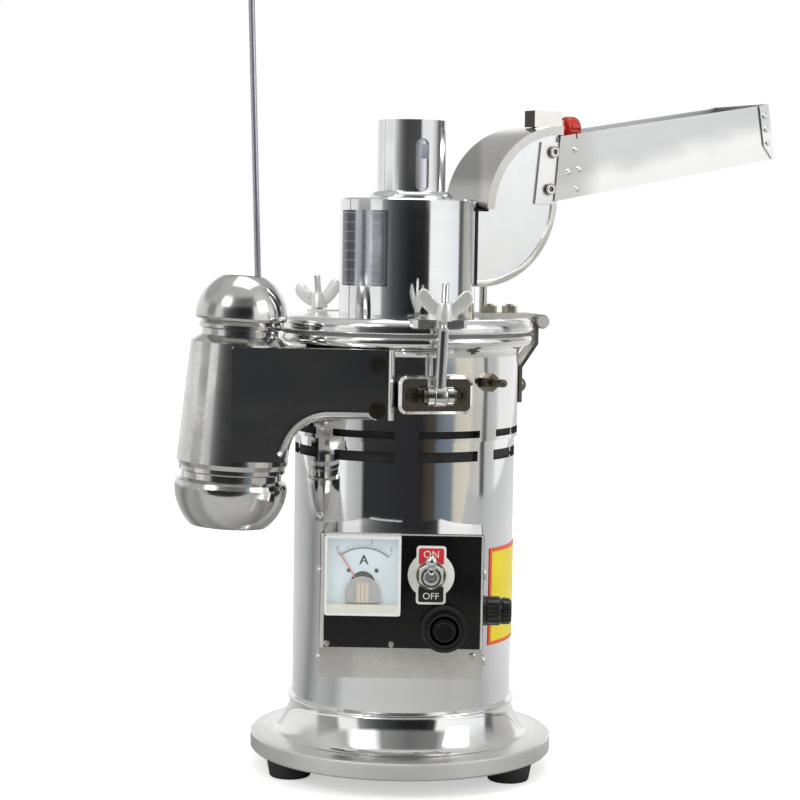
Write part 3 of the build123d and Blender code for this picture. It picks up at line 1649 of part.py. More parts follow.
save("lid_disc", lid_disc())
save("lid_lugs", Compound([lug(front_bolt_azimuth), lug(rear_bolt_azimuth)]))
save("gasket", gasket())
save("toothed_ring", toothed_ring())
save("tower", tower())
save("nameplate", nameplate())
save("chimney_tube", chimney_tube())
save("hinge_strap", hinge_strap())
save("hinge_nuts", hinge_nuts())
save("chute", chute())
save("hood", hood())
save("chute_post", chute_post())
save("tray_straps", tray_straps())
save("tray", tray())
save("tray_end", tray_end())
save("tray_rivets", rivet_line())
save("gate_block", gate_block())

save("air_sleeve", air_sleeve())
save("gate_plate", gate_plate())
save("gate_knob", gate_knob())
save("front_swing_bolt", swing_bolt(front_bolt_azimuth))
save("front_wing_nut", wing_nut(front_bolt_azimuth, 78.0))
save("rear_swing_bolt", swing_bolt(rear_bolt_azimuth))
save("rear_wing_nut", wing_nut(rear_bolt_azimuth, 30.0))
save("toggle_lever", toggle_lever())
save("meter_needle", meter_needle())
save("breaker_button", breaker_button())
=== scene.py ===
import math

import bmesh
import bpy
from mathutils import Matrix, Vector


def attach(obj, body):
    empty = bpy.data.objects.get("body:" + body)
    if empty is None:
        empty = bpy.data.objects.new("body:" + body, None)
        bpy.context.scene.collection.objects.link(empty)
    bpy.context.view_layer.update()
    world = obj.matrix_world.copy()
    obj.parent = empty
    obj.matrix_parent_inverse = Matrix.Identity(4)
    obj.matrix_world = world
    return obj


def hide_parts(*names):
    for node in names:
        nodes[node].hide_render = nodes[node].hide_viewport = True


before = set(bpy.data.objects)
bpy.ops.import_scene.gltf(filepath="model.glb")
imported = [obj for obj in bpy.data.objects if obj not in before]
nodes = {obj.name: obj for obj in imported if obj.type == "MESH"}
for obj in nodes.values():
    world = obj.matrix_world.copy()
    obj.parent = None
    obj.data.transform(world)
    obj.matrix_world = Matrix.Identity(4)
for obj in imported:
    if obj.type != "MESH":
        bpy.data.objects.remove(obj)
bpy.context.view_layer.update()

scene = bpy.context.scene

# ---- Studio ------------------------------------------------------------------
# A pale table in a white room: a dark opening and a few light screens stand in front of the table,
# and the polished metal mirrors them. The camera stands 1.35 m away, a little above the chamber.
scene.view_settings.view_transform = "Standard"
MM = 0.001


def feed(tree, node, inputs):
    """Set a node's sockets by name, or by number as _0; a socket that is given is linked."""
    for label, value in inputs.items():
        key = int(label[1:]) if label[1:].isdigit() else label.replace("_", " ")
        if isinstance(value, bpy.types.NodeSocket):
            tree.links.new(value, node.inputs[key])
        else:
            node.inputs[key].default_value = value
    return node


def add_node(tree, kind, **inputs):
    """New shader node with its sockets set or linked."""
    return feed(tree, tree.nodes.new(kind), inputs)


def calculate(tree, operation, *values):
    """Math node; returns its result."""
    node = add_node(tree, "ShaderNodeMath", **{f"_{i}": v for i, v in enumerate(values)})
    node.operation = operation
    return node.outputs[0]


def axes(tree, vector):
    """X, Y and Z of a vector."""
    return add_node(tree, "ShaderNodeSeparateXYZ", Vector=vector).outputs


def grey(value):
    """Neutral colour of one tone."""
    return (value, value, value)


def ramp(tree, factor, stops):
    """Colour ramp with (place, tone) stops, where a plain number is a grey; returns its colour."""
    node = add_node(tree, "ShaderNodeValToRGB", Fac=factor)
    elements = node.color_ramp.elements
    while len(elements) < len(stops):
        elements.new(0.5)
    for element, (place, tone) in zip(elements, stops):
        element.position = place
        element.color = (*(grey(tone) if isinstance(tone, float) else tone), 1.0)
    return node.outputs["Color"]


def ring_ramp(tree, vector, tones):
    """Ramp once round the object from (azimuth, tone) pairs; azimuths run from the front."""
    parts = axes(tree, vector)
    turn = calculate(tree, "ARCTAN2", parts["X"], calculate(tree, "MULTIPLY", parts["Y"], -1.0))
    around = calculate(tree, "MULTIPLY_ADD", turn, 0.5 / math.pi, 0.5)
    return ramp(tree, around, [(0.5 + azimuth / 360.0, tone) for azimuth, tone in tones])


def mixed(tree, factor, first, second, blend="MIX"):
    """Mix of two colours; returns the result."""
    node = tree.nodes.new("ShaderNodeMix")
    node.data_type = "RGBA"
    node.blend_type = blend
    first, second = ((*end, 1.0) if isinstance(end, tuple) else end for end in (first, second))
    return feed(tree, node, {"_0": factor, "_6": first, "_7": second}).outputs[2]


def span(tree, value, low, high, smooth=False):
    """Mask that rises from 0 at low to 1 at high."""
    node = add_node(tree, "ShaderNodeMapRange", Value=value, From_Min=low, From_Max=high)
    node.interpolation_type = "SMOOTHSTEP" if smooth else "LINEAR"
    return node.outputs["Result"]


# Tones of the screens in four rings, from the table up to the ceiling.
level_screens = [
    (-180, 1.0), (-126, 0.97), (-112, 0.66), (-101, (0.46, 0.45, 0.42)),
    (-86, (0.40, 0.40, 0.385)), (-81, 0.9), (-65, 0.96), (-60, 0.6), (-45, 0.42),
    (-42, (0.032, 0.033, 0.035)), (18, (0.022, 0.022, 0.024)), (22, (0.050, 0.040, 0.030)),
    (31, (0.070, 0.060, 0.050)), (34, (0.12, 0.15, 0.18)), (50, (0.20, 0.24, 0.28)),
    (54, (0.62, 0.58, 0.48)), (70, (0.72, 0.68, 0.58)), (74, (0.55, 0.54, 0.50)),
    (85, (0.62, 0.61, 0.58)), (87, 0.1), (91, 0.12), (93, 0.5), (104, 0.62), (112, 0.95),
    (180, 1.0)
]
high_screens = [
    (-180, 1.0), (-125, 0.9), (-96, 0.8), (-90, 0.35), (-68, 0.3), (-64, 0.95), (-46, 0.95),
    (-42, (0.30, 0.305, 0.31)), (-34, (0.17, 0.175, 0.18)), (-24, (0.080, 0.083, 0.087)),
    (-10, (0.035, 0.038, 0.042)), (4, (0.014, 0.015, 0.017)), (26, (0.016, 0.016, 0.017)),
    (36, (0.040, 0.040, 0.038)), (39, 1.05), (60, 1.05), (95, (0.90, 0.92, 0.95)), (98, 0.12),
    (106, 0.14), (110, (0.42, 0.41, 0.38)), (138, (0.60, 0.59, 0.56)), (144, 1.0), (180, 1.0)
]
raised_screens = [
    (-180, 1.0), (-125, 0.78), (-100, 0.92), (-63, 0.9), (-50, 0.42), (-32, 0.14), (-16, 0.065),
    (4, 0.075), (30, 0.1), (36, 0.85), (72, 0.92), (88, 0.6), (104, 0.13), (116, 0.16), (143, 0.6),
    (156, 1.0), (180, 1.0)
]
ceiling_screens = [
    (-180, 0.85), (-75, 0.6), (-60, 0.45), (-50, 1.3), (-28, 1.3), (-20, 0.3), (10, 0.16),
    (40, 0.22), (55, 0.75), (180, 0.85)
]
room = bpy.data.worlds.new("white_room")
scene.world = room
room.use_nodes = True
tree = room.node_tree
tree.nodes.clear()
direction = add_node(tree, "ShaderNodeTexCoord").outputs["Generated"]
level, high, raised, ceiling = (
    ring_ramp(tree, direction, tones)
    for tones in (level_screens, high_screens, raised_screens, ceiling_screens)
)
parts = axes(tree, direction)
rise = parts["Z"]
into_high = span(tree, rise, -0.056, -0.038, smooth=True)
into_raised = span(tree, rise, 0.016, 0.022, smooth=True)
past_raised = span(tree, rise, 0.066, 0.052, smooth=True)
into_ceiling = span(tree, rise, 0.40, 0.52, smooth=True)
into_top = span(tree, rise, 0.72, 0.86, smooth=True)
backward = span(tree, parts["Y"], -0.25, 0.35, smooth=True)
upward = span(tree, rise, 0.26, 0.42, smooth=True)
back_tone, top_tone, room_tone = grey(0.50), grey(0.62), grey(0.80)
screens = mixed(tree, into_high, level, high)
screens = mixed(tree, calculate(tree, "MULTIPLY", into_raised, past_raised), screens, raised)
screens = mixed(tree, into_ceiling, screens, ceiling)
screens = mixed(tree, calculate(tree, "MULTIPLY", backward, upward), screens, back_tone)
screens = mixed(tree, into_top, screens, top_tone)
rays = add_node(tree, "ShaderNodeLightPath").outputs
seen = calculate(tree, "MAXIMUM", rays["Is Camera Ray"], rays["Is Transmission Ray"])
light = mixed(tree, rays["Is Glossy Ray"], room_tone, screens)
light = mixed(tree, seen, light, grey(1.0))
background = add_node(tree, "ShaderNodeBackground", Color=light)
add_node(tree, "ShaderNodeOutputWorld", Surface=background.outputs[0])

lamps_aim = Vector((0, 0, 0.25))
for label, place, size, power in (
    ("lamp_left", (-1.15, -1.25, 1.55), 0.55, 9.0),
    ("lamp_right", (1.7, -0.9, 1.2), 0.9, 7.0),
    ("lamp_top", (0.1, 0.3, 2.2), 1.2, 10.0),
):
    lamp = bpy.data.lights.new(label, "AREA")
    lamp.size = size
    lamp.energy = power
    holder = bpy.data.objects.new(label, lamp)
    holder.location = place
    holder.rotation_euler = (lamps_aim - holder.location).to_track_quat("-Z", "Y").to_euler()
    scene.collection.objects.link(holder)

camera_place = (0.0087, -1.352, 0.3364)
focal_pixels, frame_pixels = 2154.0, 800.0
camera = bpy.data.cameras.new("camera")
camera.lens = focal_pixels * camera.sensor_width / frame_pixels
camera.clip_end = 50.0
camera_holder = bpy.data.objects.new("camera", camera)
scene.collection.objects.link(camera_holder)
scene.camera = camera_holder
pitch, roll, yaw = (math.radians(angle) for angle in (4.44, 0.92, -0.51))
ahead = Vector((math.sin(yaw), math.cos(yaw), 0.0)) * math.cos(pitch)
ahead.z = -math.sin(pitch)
across = Vector((math.cos(yaw), -math.sin(yaw), 0.0))
above = across.cross(ahead)
right = math.cos(roll) * across + math.sin(roll) * above
up = -math.sin(roll) * across + math.cos(roll) * above
turned_camera = Matrix((right, up, -ahead)).transposed().to_4x4()
camera_holder.matrix_world = Matrix.Translation(camera_place) @ turned_camera


def new_material(name):
    """Empty node material; returns it with its tree and its Principled shader."""
    made = bpy.data.materials.new(name)
    made.use_nodes = True
    made.node_tree.nodes.clear()
    shader = add_node(made.node_tree, "ShaderNodeBsdfPrincipled")
    add_node(made.node_tree, "ShaderNodeOutputMaterial", Surface=shader.outputs[0])
    return made, made.node_tree, shader


def place_mesh(name, mesh, material, smooth_angle=35.0):
    """Object from a finished bmesh, its place already in the mesh."""
    data = bpy.data.meshes.new(name)
    mesh.to_mesh(data)
    mesh.free()
    for face in data.polygons:
        face.use_smooth = True
    data.set_sharp_from_angle(angle=math.radians(smooth_angle))
    data.materials.append(material)
    piece = bpy.data.objects.new(name, data)
    scene.collection.objects.link(piece)
    return piece


def noise(tree, vector, scale, detail):
    """Noise texture; returns its value."""
    node = add_node(tree, "ShaderNodeTexNoise", Vector=vector, Scale=scale, Detail=detail)
    return node.outputs["Fac"]


table_top, tree, shader = new_material("table_top")
spots = add_node(tree, "ShaderNodeTexCoord").outputs["Object"]
tone = mixed(tree, noise(tree, spots, 6.0, 3.0), (0.83, 0.825, 0.81), (0.79, 0.785, 0.77))
shader.inputs["Roughness"].default_value = 0.7
rays = add_node(tree, "ShaderNodeLightPath").outputs
glow = calculate(tree, "MULTIPLY", rays["Is Camera Ray"], 0.50)
table_tones = [
    (-180, 0.75), (-145, 0.62), (-118, 0.4), (-104, 0.2), (-86, 0.4), (-66, 0.3), (-55, 0.5),
    (0, (0.50, 0.495, 0.475)), (28, (0.45, 0.445, 0.42)), (45, (0.39, 0.385, 0.36)), (85, 0.38),
    (100, 0.52), (140, 0.75), (180, 0.8)
]
tone = mixed(tree, rays["Is Glossy Ray"], tone, ring_ramp(tree, spots, table_tones))
tree.links.new(tone, shader.inputs["Base Color"])
tree.links.new(glow, shader.inputs["Emission Strength"])
shader.inputs["Emission Color"].default_value = (1.0, 1.0, 1.0, 1.0)
table_middle, table_half = (0, 2.3, 0), (1.5, 2.9, 1, 1)
mesh = bmesh.new()
bmesh.ops.create_grid(mesh, x_segments=8, y_segments=8, size=1.0)
spread = Matrix.Translation(table_middle) @ Matrix.Diagonal(table_half)
bmesh.ops.transform(mesh, matrix=spread, verts=mesh.verts)
place_mesh("table", mesh, table_top)

# ---- Rubber feet -------------------------------------------------------------
# Three tapered black rubber feet, moulded with a rounded foot and a hollow for the screw,
# and screwed up into the base disc.


def node_group(name, inputs, outputs):
    """Shader node group with named sockets; returns its tree, input values and output node."""
    group = bpy.data.node_groups.new(name, "ShaderNodeTree")
    for label, kind, value in inputs:
        socket = group.interface.new_socket(label, in_out="INPUT", socket_type="NodeSocket" + kind)
        if value is not None:
            socket.default_value = value
    for label, kind in outputs:
        group.interface.new_socket(label, in_out="OUTPUT", socket_type="NodeSocket" + kind)
    values = group.nodes.new("NodeGroupInput").outputs
    return group, values, group.nodes.new("NodeGroupOutput")


def place_group(tree, group, **inputs):
    """Node group in a material, with its own values."""
    node = tree.nodes.new("ShaderNodeGroup")
    node.node_tree = group
    return feed(tree, node, inputs).outputs


surface_marks, values, end = node_group(
    "surface_marks",
    [
        ("Vector", "Vector", None),
        ("Light", "Color", (0.8, 0.8, 0.8, 1.0)),
        ("Dark", "Color", (0.6, 0.6, 0.6, 1.0)),
        ("Smooth", "Float", 0.1),
        ("Rough", "Float", 0.3),
        ("Patch Scale", "Float", 12.0),
        ("Grain Scale", "Float", 400.0),
    ],
    [("Color", "Color"), ("Roughness", "Float"), ("Height", "Float"), ("Waves", "Float")],
)
spots = values["Vector"]
patches = noise(surface_marks, spots, values["Patch Scale"], 4.0)
grain = noise(surface_marks, spots, values["Grain Scale"], 5.0)
swell = noise(surface_marks, spots, values["Patch Scale"], 0.0)
cloud = span(surface_marks, patches, 0.34, 0.66, smooth=True)
speck = span(surface_marks, grain, 0.30, 0.70)
cloud_share, speck_share = 0.65, 0.35
part = calculate(surface_marks, "MULTIPLY", cloud, cloud_share)
both = calculate(surface_marks, "MULTIPLY_ADD", speck, speck_share, part)
tint = mixed(surface_marks, both, values["Light"], values["Dark"])
surface_marks.links.new(tint, end.inputs["Color"])
spread = calculate(surface_marks, "SUBTRACT", values["Rough"], values["Smooth"])
gloss = calculate(surface_marks, "MULTIPLY_ADD", both, spread, values["Smooth"])
surface_marks.links.new(gloss, end.inputs["Roughness"])
surface_marks.links.new(speck, end.inputs["Height"])
surface_marks.links.new(swell, end.inputs["Waves"])

lathe_marks, values, end = node_group(
    "lathe_marks",
    [("Vector", "Vector", None), ("Pitch", "Float", 900.0)],
    [("Rings", "Vector")],
)
parts = axes(lathe_marks, values["Vector"])
square = calculate(lathe_marks, "MULTIPLY", parts["Y"], parts["Y"])
square = calculate(lathe_marks, "MULTIPLY_ADD", parts["X"], parts["X"], square)
away = calculate(lathe_marks, "SQRT", square)
rings = add_node(
    lathe_marks,
    "ShaderNodeCombineXYZ",
    X=calculate(lathe_marks, "MULTIPLY", away, values["Pitch"]),
    Y=calculate(lathe_marks, "MULTIPLY", parts["Z"], values["Pitch"]),
    Z=calculate(lathe_marks, "ARCTAN2", parts["Y"], parts["X"]),
)
lathe_marks.links.new(rings.outputs[0], end.inputs["Rings"])


def marked_material(
    name, light, dark, smooth, rough, patch=90.0, grain=900.0, stretch=(1, 1, 1), pitch=0.0,
    depth=0.0, waves=0.0, paint=None, shine=None, **sockets
):
    """Material whose colour, gloss and relief come from the surface marks.

    Pitch lays the marks in a lathe's rings. Depth is the grain's and waves the swell's, in metres.
    Paint and shine change the colour and the roughness; sockets are the shader's own values.
    """
    made, tree, shader = new_material(name)
    spots = add_node(tree, "ShaderNodeTexCoord").outputs["Object"]
    place = add_node(tree, "ShaderNodeMapping", Vector=spots, Scale=stretch).outputs[0]
    if pitch:
        place = place_group(tree, lathe_marks, Vector=spots, Pitch=pitch)["Rings"]
        patch, grain = 0.06, 1.0
    marks = place_group(
        tree, surface_marks, Vector=place, Light=(*light, 1), Dark=(*dark, 1), Smooth=smooth,
        Rough=rough, Patch_Scale=patch, Grain_Scale=grain
    )
    colour = paint(tree, spots, marks["Color"]) if paint else marks["Color"]
    roughness = shine(tree, spots, marks["Roughness"]) if shine else marks["Roughness"]
    feed(tree, shader, {"Base Color": colour, "Roughness": roughness})
    relief = None
    for height, deep in ((marks["Waves"], waves), (marks["Height"], depth)):
        if deep:
            bump = add_node(tree, "ShaderNodeBump", Height=height, Strength=1.0, Distance=deep)
            if relief:
                tree.links.new(relief, bump.inputs["Normal"])
            relief = bump.outputs[0]
    if relief:
        tree.links.new(relief, shader.inputs["Normal"])
    feed(tree, shader, sockets)
    return made


same_place = 1e-6


def turned(profile, place=None, steps=72):
    """Mesh turned about Z from (radius, height) points in millimetres, then put in its place."""
    mesh = bmesh.new()
    points = [mesh.verts.new((radius * MM, 0, height * MM)) for radius, height in profile]
    lines = [mesh.edges.new(pair) for pair in zip(points, points[1:])]
    bmesh.ops.spin(
        mesh, geom=points + lines, cent=(0, 0, 0), axis=(0, 0, 1), angle=2 * math.pi,
        steps=steps, use_merge=True
    )
    bmesh.ops.remove_doubles(mesh, verts=mesh.verts, dist=same_place)
    bmesh.ops.recalc_face_normals(mesh, faces=mesh.faces)
    if place is not None:
        bmesh.ops.transform(mesh, matrix=place, verts=mesh.verts)
    return mesh


def shift(x=0.0, y=0.0, z=0.0):
    """Move in millimetres."""
    return Matrix.Translation((x * MM, y * MM, z * MM))


def rotate(angle, axis):
    """Turn in degrees about X, Y or Z."""
    return Matrix.Rotation(math.radians(angle), 4, axis)


def arc(centre, radius, start, end, count):
    """Points along an arc; angles in degrees."""
    step = (end - start) / count
    angles = [math.radians(start + step * i) for i in range(count + 1)]
    return [(centre[0] + radius * math.cos(a), centre[1] + radius * math.sin(a)) for a in angles]


def together(*meshes):
    """Join meshes into the first."""
    for extra in meshes[1:]:
        copy = bpy.data.meshes.new("joining")
        extra.to_mesh(copy)
        extra.free()
        meshes[0].from_mesh(copy)
        bpy.data.meshes.remove(copy)
    return meshes[0]


def fit(name, mesh, material, body, finish, *names, smooth_angle=35.0):
    """Piece that rides on a body and may stand for CAD nodes; its finish is not used."""
    piece = place_mesh(name, mesh, material, smooth_angle)
    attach(piece, body)
    if names:
        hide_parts(*names)
    return piece


black_rubber = marked_material(
    "black_rubber", grey(0.012), (0.028, 0.028, 0.027), 0.45, 0.75, patch=60, depth=0.0002
)
foot_profile = [(2.2, 10.9), (2.2, 5.6), (4.4, 5.6)]
foot_profile += arc((5.4, 1.0), 1.0, 180, 270, 4) + arc((11.2, 1.6), 1.6, 270, 356, 5)
foot_profile += arc((13.4, 10.1), 1.0, 0, 90, 4) + [(2.2, 11.4)]
foot_circle = shift(78.0)
feet = [turned(foot_profile, rotate(turn, "Z") @ foot_circle, 56) for turn in (-30, 90, 210)]
fit("foot_rubbers", together(*feet), black_rubber, "machine", "black_rubber", "rubber_feet")

# ---- Base --------------------------------------------------------------------
# Cast aluminium disc, turned on the lathe: the disc is left satin, the flare up to the motor shell
# and the bead under it are polished.


def dress(material, *names):
    """Give CAD nodes a finish."""
    for name in names:
        data = nodes[name].data
        if not data.materials:
            data.materials.append(material)
        for index in range(len(data.materials)):
            data.materials[index] = material


satin_top, mirror_from, mirror_gloss = 22.2, 24.5, 0.07


def polished_flare(tree, spots, roughness):
    """Roughness that falls to a mirror's above the disc."""
    above = span(tree, axes(tree, spots)["Z"], satin_top * MM, mirror_from * MM, smooth=True)
    low = calculate(tree, "MULTIPLY", roughness, calculate(tree, "SUBTRACT", 1.0, above))
    return calculate(tree, "MULTIPLY_ADD", above, mirror_gloss, low)


base_metal = marked_material(
    "base_metal", (0.90, 0.90, 0.89), (0.82, 0.82, 0.81), 0.26, 0.42, pitch=900.0, depth=0.000004,
    shine=polished_flare, Metallic=1.0
)
dress(base_metal, "base_casting")

# ---- Motor shell -------------------------------------------------------------
# Stainless tube, mirror polished on the outside, with a row of air slots under its top edge.
# A dark ring behind both rows of slots is painted shade, standing for the dark motor inside; it
# carries a fine weave.
shell_metal = marked_material(
    "shell_metal", (0.90, 0.905, 0.91), (0.85, 0.855, 0.86), 0.035, 0.07, pitch=900.0, Metallic=1.0
)
dress(shell_metal, "motor_shell")
wires_round, wires_up = 300.0, 4600.0


def woven(tree, spots, colour):
    """Fine square weave on the painted-shade ring about Z behind the slots, darkest between its
    wires.
    """
    parts = axes(tree, spots)
    turn = calculate(tree, "ARCTAN2", parts["Y"], parts["X"])
    across = calculate(tree, "SINE", calculate(tree, "MULTIPLY", turn, wires_round))
    along = calculate(tree, "SINE", calculate(tree, "MULTIPLY", parts["Z"], wires_up))
    wire = span(tree, calculate(tree, "MAXIMUM", across, along), 0.55, 0.85)
    return mixed(tree, wire, grey(0.002), colour)


shade_black = marked_material(
    "shade_black", grey(0.035), grey(0.015), 0.5, 0.8, patch=60, paint=woven
)
# Dark ring behind the slots: painted shade for the unlit inside of the motor.
shade_ring = [(65.0, 188.5), (66.0, 188.5), (66.0, 223.5), (65.0, 223.5), (65.0, 188.5)]
fit("slot_shade_ring", turned(shade_ring, steps=128), shade_black, "machine", "dark_steel")

# ---- Motor -------------------------------------------------------------------
# Laminated stator and armature, ground shaft with ball bearings, plate spider and a pressed fan.
# They sit inside the shell and turn the beater in the chamber above.
lamination = marked_material(
    "lamination", (0.045, 0.045, 0.048), grey(0.02), 0.45, 0.7, pitch=3000.0, depth=0.00004
)
dress(lamination, "stator", "armature")
cast_grey = marked_material(
    "cast_grey", grey(0.1), grey(0.05), 0.5, 0.75, patch=40, grain=700, depth=0.0001, Metallic=0.6
)
dress(cast_grey, "lower_bearing_plate", "upper_bearing_plate", "cooling_fan")
ground_steel = marked_material(
    "ground_steel", (0.62, 0.62, 0.63), (0.50, 0.50, 0.51), 0.18, 0.30, pitch=2500.0, Metallic=1.0
)
dress(ground_steel, "rotor_shaft", "bearings", "rotor_nut")
dress(ground_steel, "beater", "ring_screen", "toothed_ring")

# ---- Chamber casting ---------------------------------------------------------
# Cast aluminium ring with a slotted skirt and a rounded flange, machined and polished outside.
# It stands on the motor shell, and the lid seals on its flange.
casting_metal = marked_material(
    "casting_metal", (0.88, 0.88, 0.875), (0.81, 0.81, 0.80), 0.05, 0.11, patch=24, grain=300,
    waves=0.00006, Metallic=1.0
)
dress(casting_metal, "chamber_casting")

# ---- Outlet duct -------------------------------------------------------------
# Cast aluminium arm and barrel, ground and polished by hand, with a lip for the powder bag below
# and one for the air bag above. Two socket screws hold its arm on the casting.
duct_metal = marked_material(
    "duct_metal", (0.74, 0.735, 0.72), (0.56, 0.555, 0.54), 0.08, 0.19, patch=26, grain=420,
    waves=0.0005, Metallic=1.0
)
arm_lean = math.radians(4.1)
arm_facing = Vector((0.0, -math.cos(arm_lean), math.sin(arm_lean)))
in_line, nearly_in_line = 0.99999, 0.9999


def spot(data, corner):
    """Corner's point rounded to a hundredth of a millimetre, to find it again."""
    point = data.vertices[data.loops[corner].vertex_index].co
    return tuple(round(value / MM, 2) for value in point)


def finished_normals(data, source):
    """Normals from the source mesh where no bevel went, and one for the arm's flat front."""
    known = {}
    for face in source.polygons:
        for corner in face.loop_indices:
            pair = (face.normal.copy(), source.corner_normals[corner].vector.copy())
            known.setdefault(spot(source, corner), []).append(pair)
    normals = []
    for face in data.polygons:
        for corner in face.loop_indices:
            near = known.get(spot(data, corner), [])
            best = max(near, key=lambda pair: pair[0].dot(face.normal), default=None)
            if face.normal.dot(arm_facing) > in_line:
                normals.append(arm_facing)
            elif best and best[0].dot(face.normal) > nearly_in_line:
                normals.append(best[1])
            else:
                normals.append(Vector())
    data.normals_split_custom_set(normals)


def on_arm_face(line):
    """Which of an edge's faces lie on the arm's flat front."""
    return [face.normal.dot(arm_facing) > in_line for face in line.link_faces]


def middle_of(line):
    """Middle of an edge in millimetres."""
    return (line.verts[0].co + line.verts[1].co) / (2 * MM)


duct = bmesh.new()
duct.from_mesh(nodes["outlet_duct"].data)
bmesh.ops.remove_doubles(duct, verts=duct.verts, dist=same_place)
inner = [line for line in duct.edges if all(on_arm_face(line))]
bmesh.ops.dissolve_limit(duct, angle_limit=math.radians(0.8), verts=[], edges=inner)
straight_y, straight_z, straight_length = -78.82, 225.0, 20.0
straight = []
for line in duct.edges:
    middle = middle_of(line)
    near = abs(middle.z - straight_z) < 0.1 and abs(middle.y - straight_y) < 0.1
    if near and line.calc_length() > straight_length * MM:
        straight.append(line)
bmesh.ops.subdivide_edges(duct, edges=straight, cuts=2)
arm_left, arm_right = -100.0, -22.0
# Lowest and highest place of the arm's two long edges, and how wide each is rounded.
lower_edge, upper_edge = (202.0, 226.0, 6.0), (266.5, 267.5, 1.3)
for low, high, width in (lower_edge, upper_edge):
    rim = []
    for line in duct.edges:
        middle = middle_of(line)
        within = low < middle.z < high and arm_left < middle.x < arm_right
        if within and on_arm_face(line).count(True) == 1:
            rim.append(line)
    bmesh.ops.bevel(
        duct, geom=rim, offset=width * MM, affect="EDGES", segments=8, profile=0.5, material=-1,
        clamp_overlap=False
    )
casting = fit("duct_casting", duct, duct_metal, "machine", "cast_polished", "outlet_duct")
finished_normals(casting.data, nodes["outlet_duct"].data)

# ---- Bag rod -----------------------------------------------------------------
# Blued spring-steel rod, bent to a hook at its top to hold the air bag up. It is pressed into
# the boss on the duct's dome.
blued_steel = marked_material(
    "blued_steel", (0.60, 0.60, 0.67), (0.40, 0.40, 0.46), 0.34, 0.50, patch=30,
    stretch=(1, 1, 0.15), Metallic=1.0
)
dress(blued_steel, "bag_rod")

# ---- Lid ---------------------------------------------------------------------
# Turned and polished disc with two forked lugs, a rubber gasket under it, and a hinge at its side:
# a bent strap with two nuts, a leaf screwed to the casting, and a pin.
lid_metal = marked_material(
    "lid_metal", (0.88, 0.88, 0.875), (0.80, 0.80, 0.795), 0.06, 0.12, pitch=900.0, depth=0.000001,
    Metallic=1.0
)
dress(lid_metal, "lid_disc")
lug_metal = marked_material(
    "lug_metal", (0.84, 0.835, 0.82), (0.70, 0.69, 0.67), 0.16, 0.32, patch=60, grain=500,
    depth=0.00002, Metallic=1.0
)
dress(lug_metal, "lid_lugs")
grey_rubber = marked_material(
    "grey_rubber", (0.20, 0.20, 0.195), (0.13, 0.13, 0.125), 0.5, 0.7, patch=50, grain=700
)
dress(grey_rubber, "gasket")
hinge_metal = marked_material(
    "hinge_metal", (0.84, 0.83, 0.79), (0.66, 0.65, 0.61), 0.34, 0.50, patch=60, grain=600,
    depth=0.00002, Metallic=0.6
)
dress(hinge_metal, "hinge_strap", "hinge_pin")
leaf_metal = marked_material(
    "leaf_metal", (0.52, 0.50, 0.44), (0.34, 0.32, 0.27), 0.25, 0.45, patch=60, grain=600,
    depth=0.00003, Metallic=1.0
)
dress(leaf_metal, "hinge_leaf")
nut_brass = marked_material(
    "nut_brass", (0.78, 0.75, 0.64), (0.58, 0.55, 0.46), 0.24, 0.42, depth=0.00002, Metallic=1.0
)
dress(nut_brass, "hinge_nuts")

# ---- Tower and chimney -------------------------------------------------------
# Polished steel tube welded on the lid, a smaller tube on top of it, and a sleeve that shuts its
# slot. The blank plate on its side is etched, with a frame and rules and no words.
tower_metal = marked_material(
    "tower_metal", (0.88, 0.885, 0.89), (0.82, 0.825, 0.83), 0.04, 0.085, pitch=900.0, Metallic=1.0
)
dress(tower_metal, "tower", "chimney_tube")
sleeve_metal = marked_material(
    "sleeve_metal", (0.90, 0.90, 0.95), (0.80, 0.80, 0.86), 0.26, 0.40, patch=40, grain=500,
    Metallic=0.9
)
dress(sleeve_metal, "air_sleeve")
chimney_place = shift(1.5)
bead = [(20.9, 357.3), (25.9, 357.3)] + arc((21.2, 357.4), 4.8, 2, 88, 10)
bead += [(20.9, 362.2), (20.9, 357.3)]
fit("chimney_weld", turned(bead, chimney_place), tower_metal, "lid", "polished_steel")
wrapped_edge, values, end = node_group(
    "wrapped_edge",
    [
        ("Vector", "Vector", None),
        ("Radius", "Float", 0.05),
        ("From", "Float", 0.0),
        ("To", "Float", 1.0),
        ("Low", "Float", 0.0),
        ("High", "Float", 0.1),
    ],
    [("Inset", "Float")],
)
parts = axes(wrapped_edge, values["Vector"])
turn = calculate(wrapped_edge, "ARCTAN2", parts["Y"], parts["X"])
after = calculate(wrapped_edge, "SUBTRACT", turn, values["From"])
before = calculate(wrapped_edge, "SUBTRACT", values["To"], turn)
nearer = calculate(wrapped_edge, "MINIMUM", after, before)
side = calculate(wrapped_edge, "MULTIPLY", nearer, values["Radius"])
above = calculate(wrapped_edge, "SUBTRACT", parts["Z"], values["Low"])
below = calculate(wrapped_edge, "SUBTRACT", values["High"], parts["Z"])
nearer = calculate(wrapped_edge, "MINIMUM", above, below)
inset = calculate(wrapped_edge, "MINIMUM", side, nearer)
wrapped_edge.links.new(inset, end.inputs["Inset"])


def inset_of(tree, spots, radius, start, stop, low, high):
    """Metres from the edge of a plate wrapped on a tube, given in millimetres and degrees."""
    start, stop = math.radians(start), math.radians(stop)
    return place_group(
        tree, wrapped_edge, Vector=spots, Radius=radius * MM, From=start, To=stop, Low=low * MM,
        High=high * MM
    )["Inset"]


# Tones across the plate, from its left edge to its right: painted reflection bands of the curved
# plate, one dark and two bright.
band_tones = [
    (0.10, 0.85), (0.16, 0.44), (0.27, 0.5), (0.32, 3.0), (0.39, 3.0), (0.43, 1.1),
    (0.47, 1.1), (0.51, 3.1), (0.57, 3.1), (0.62, 1.6), (0.86, 1.3)
]
plate_left, plate_right, rule_pitch = -0.042, -0.008, 0.0058


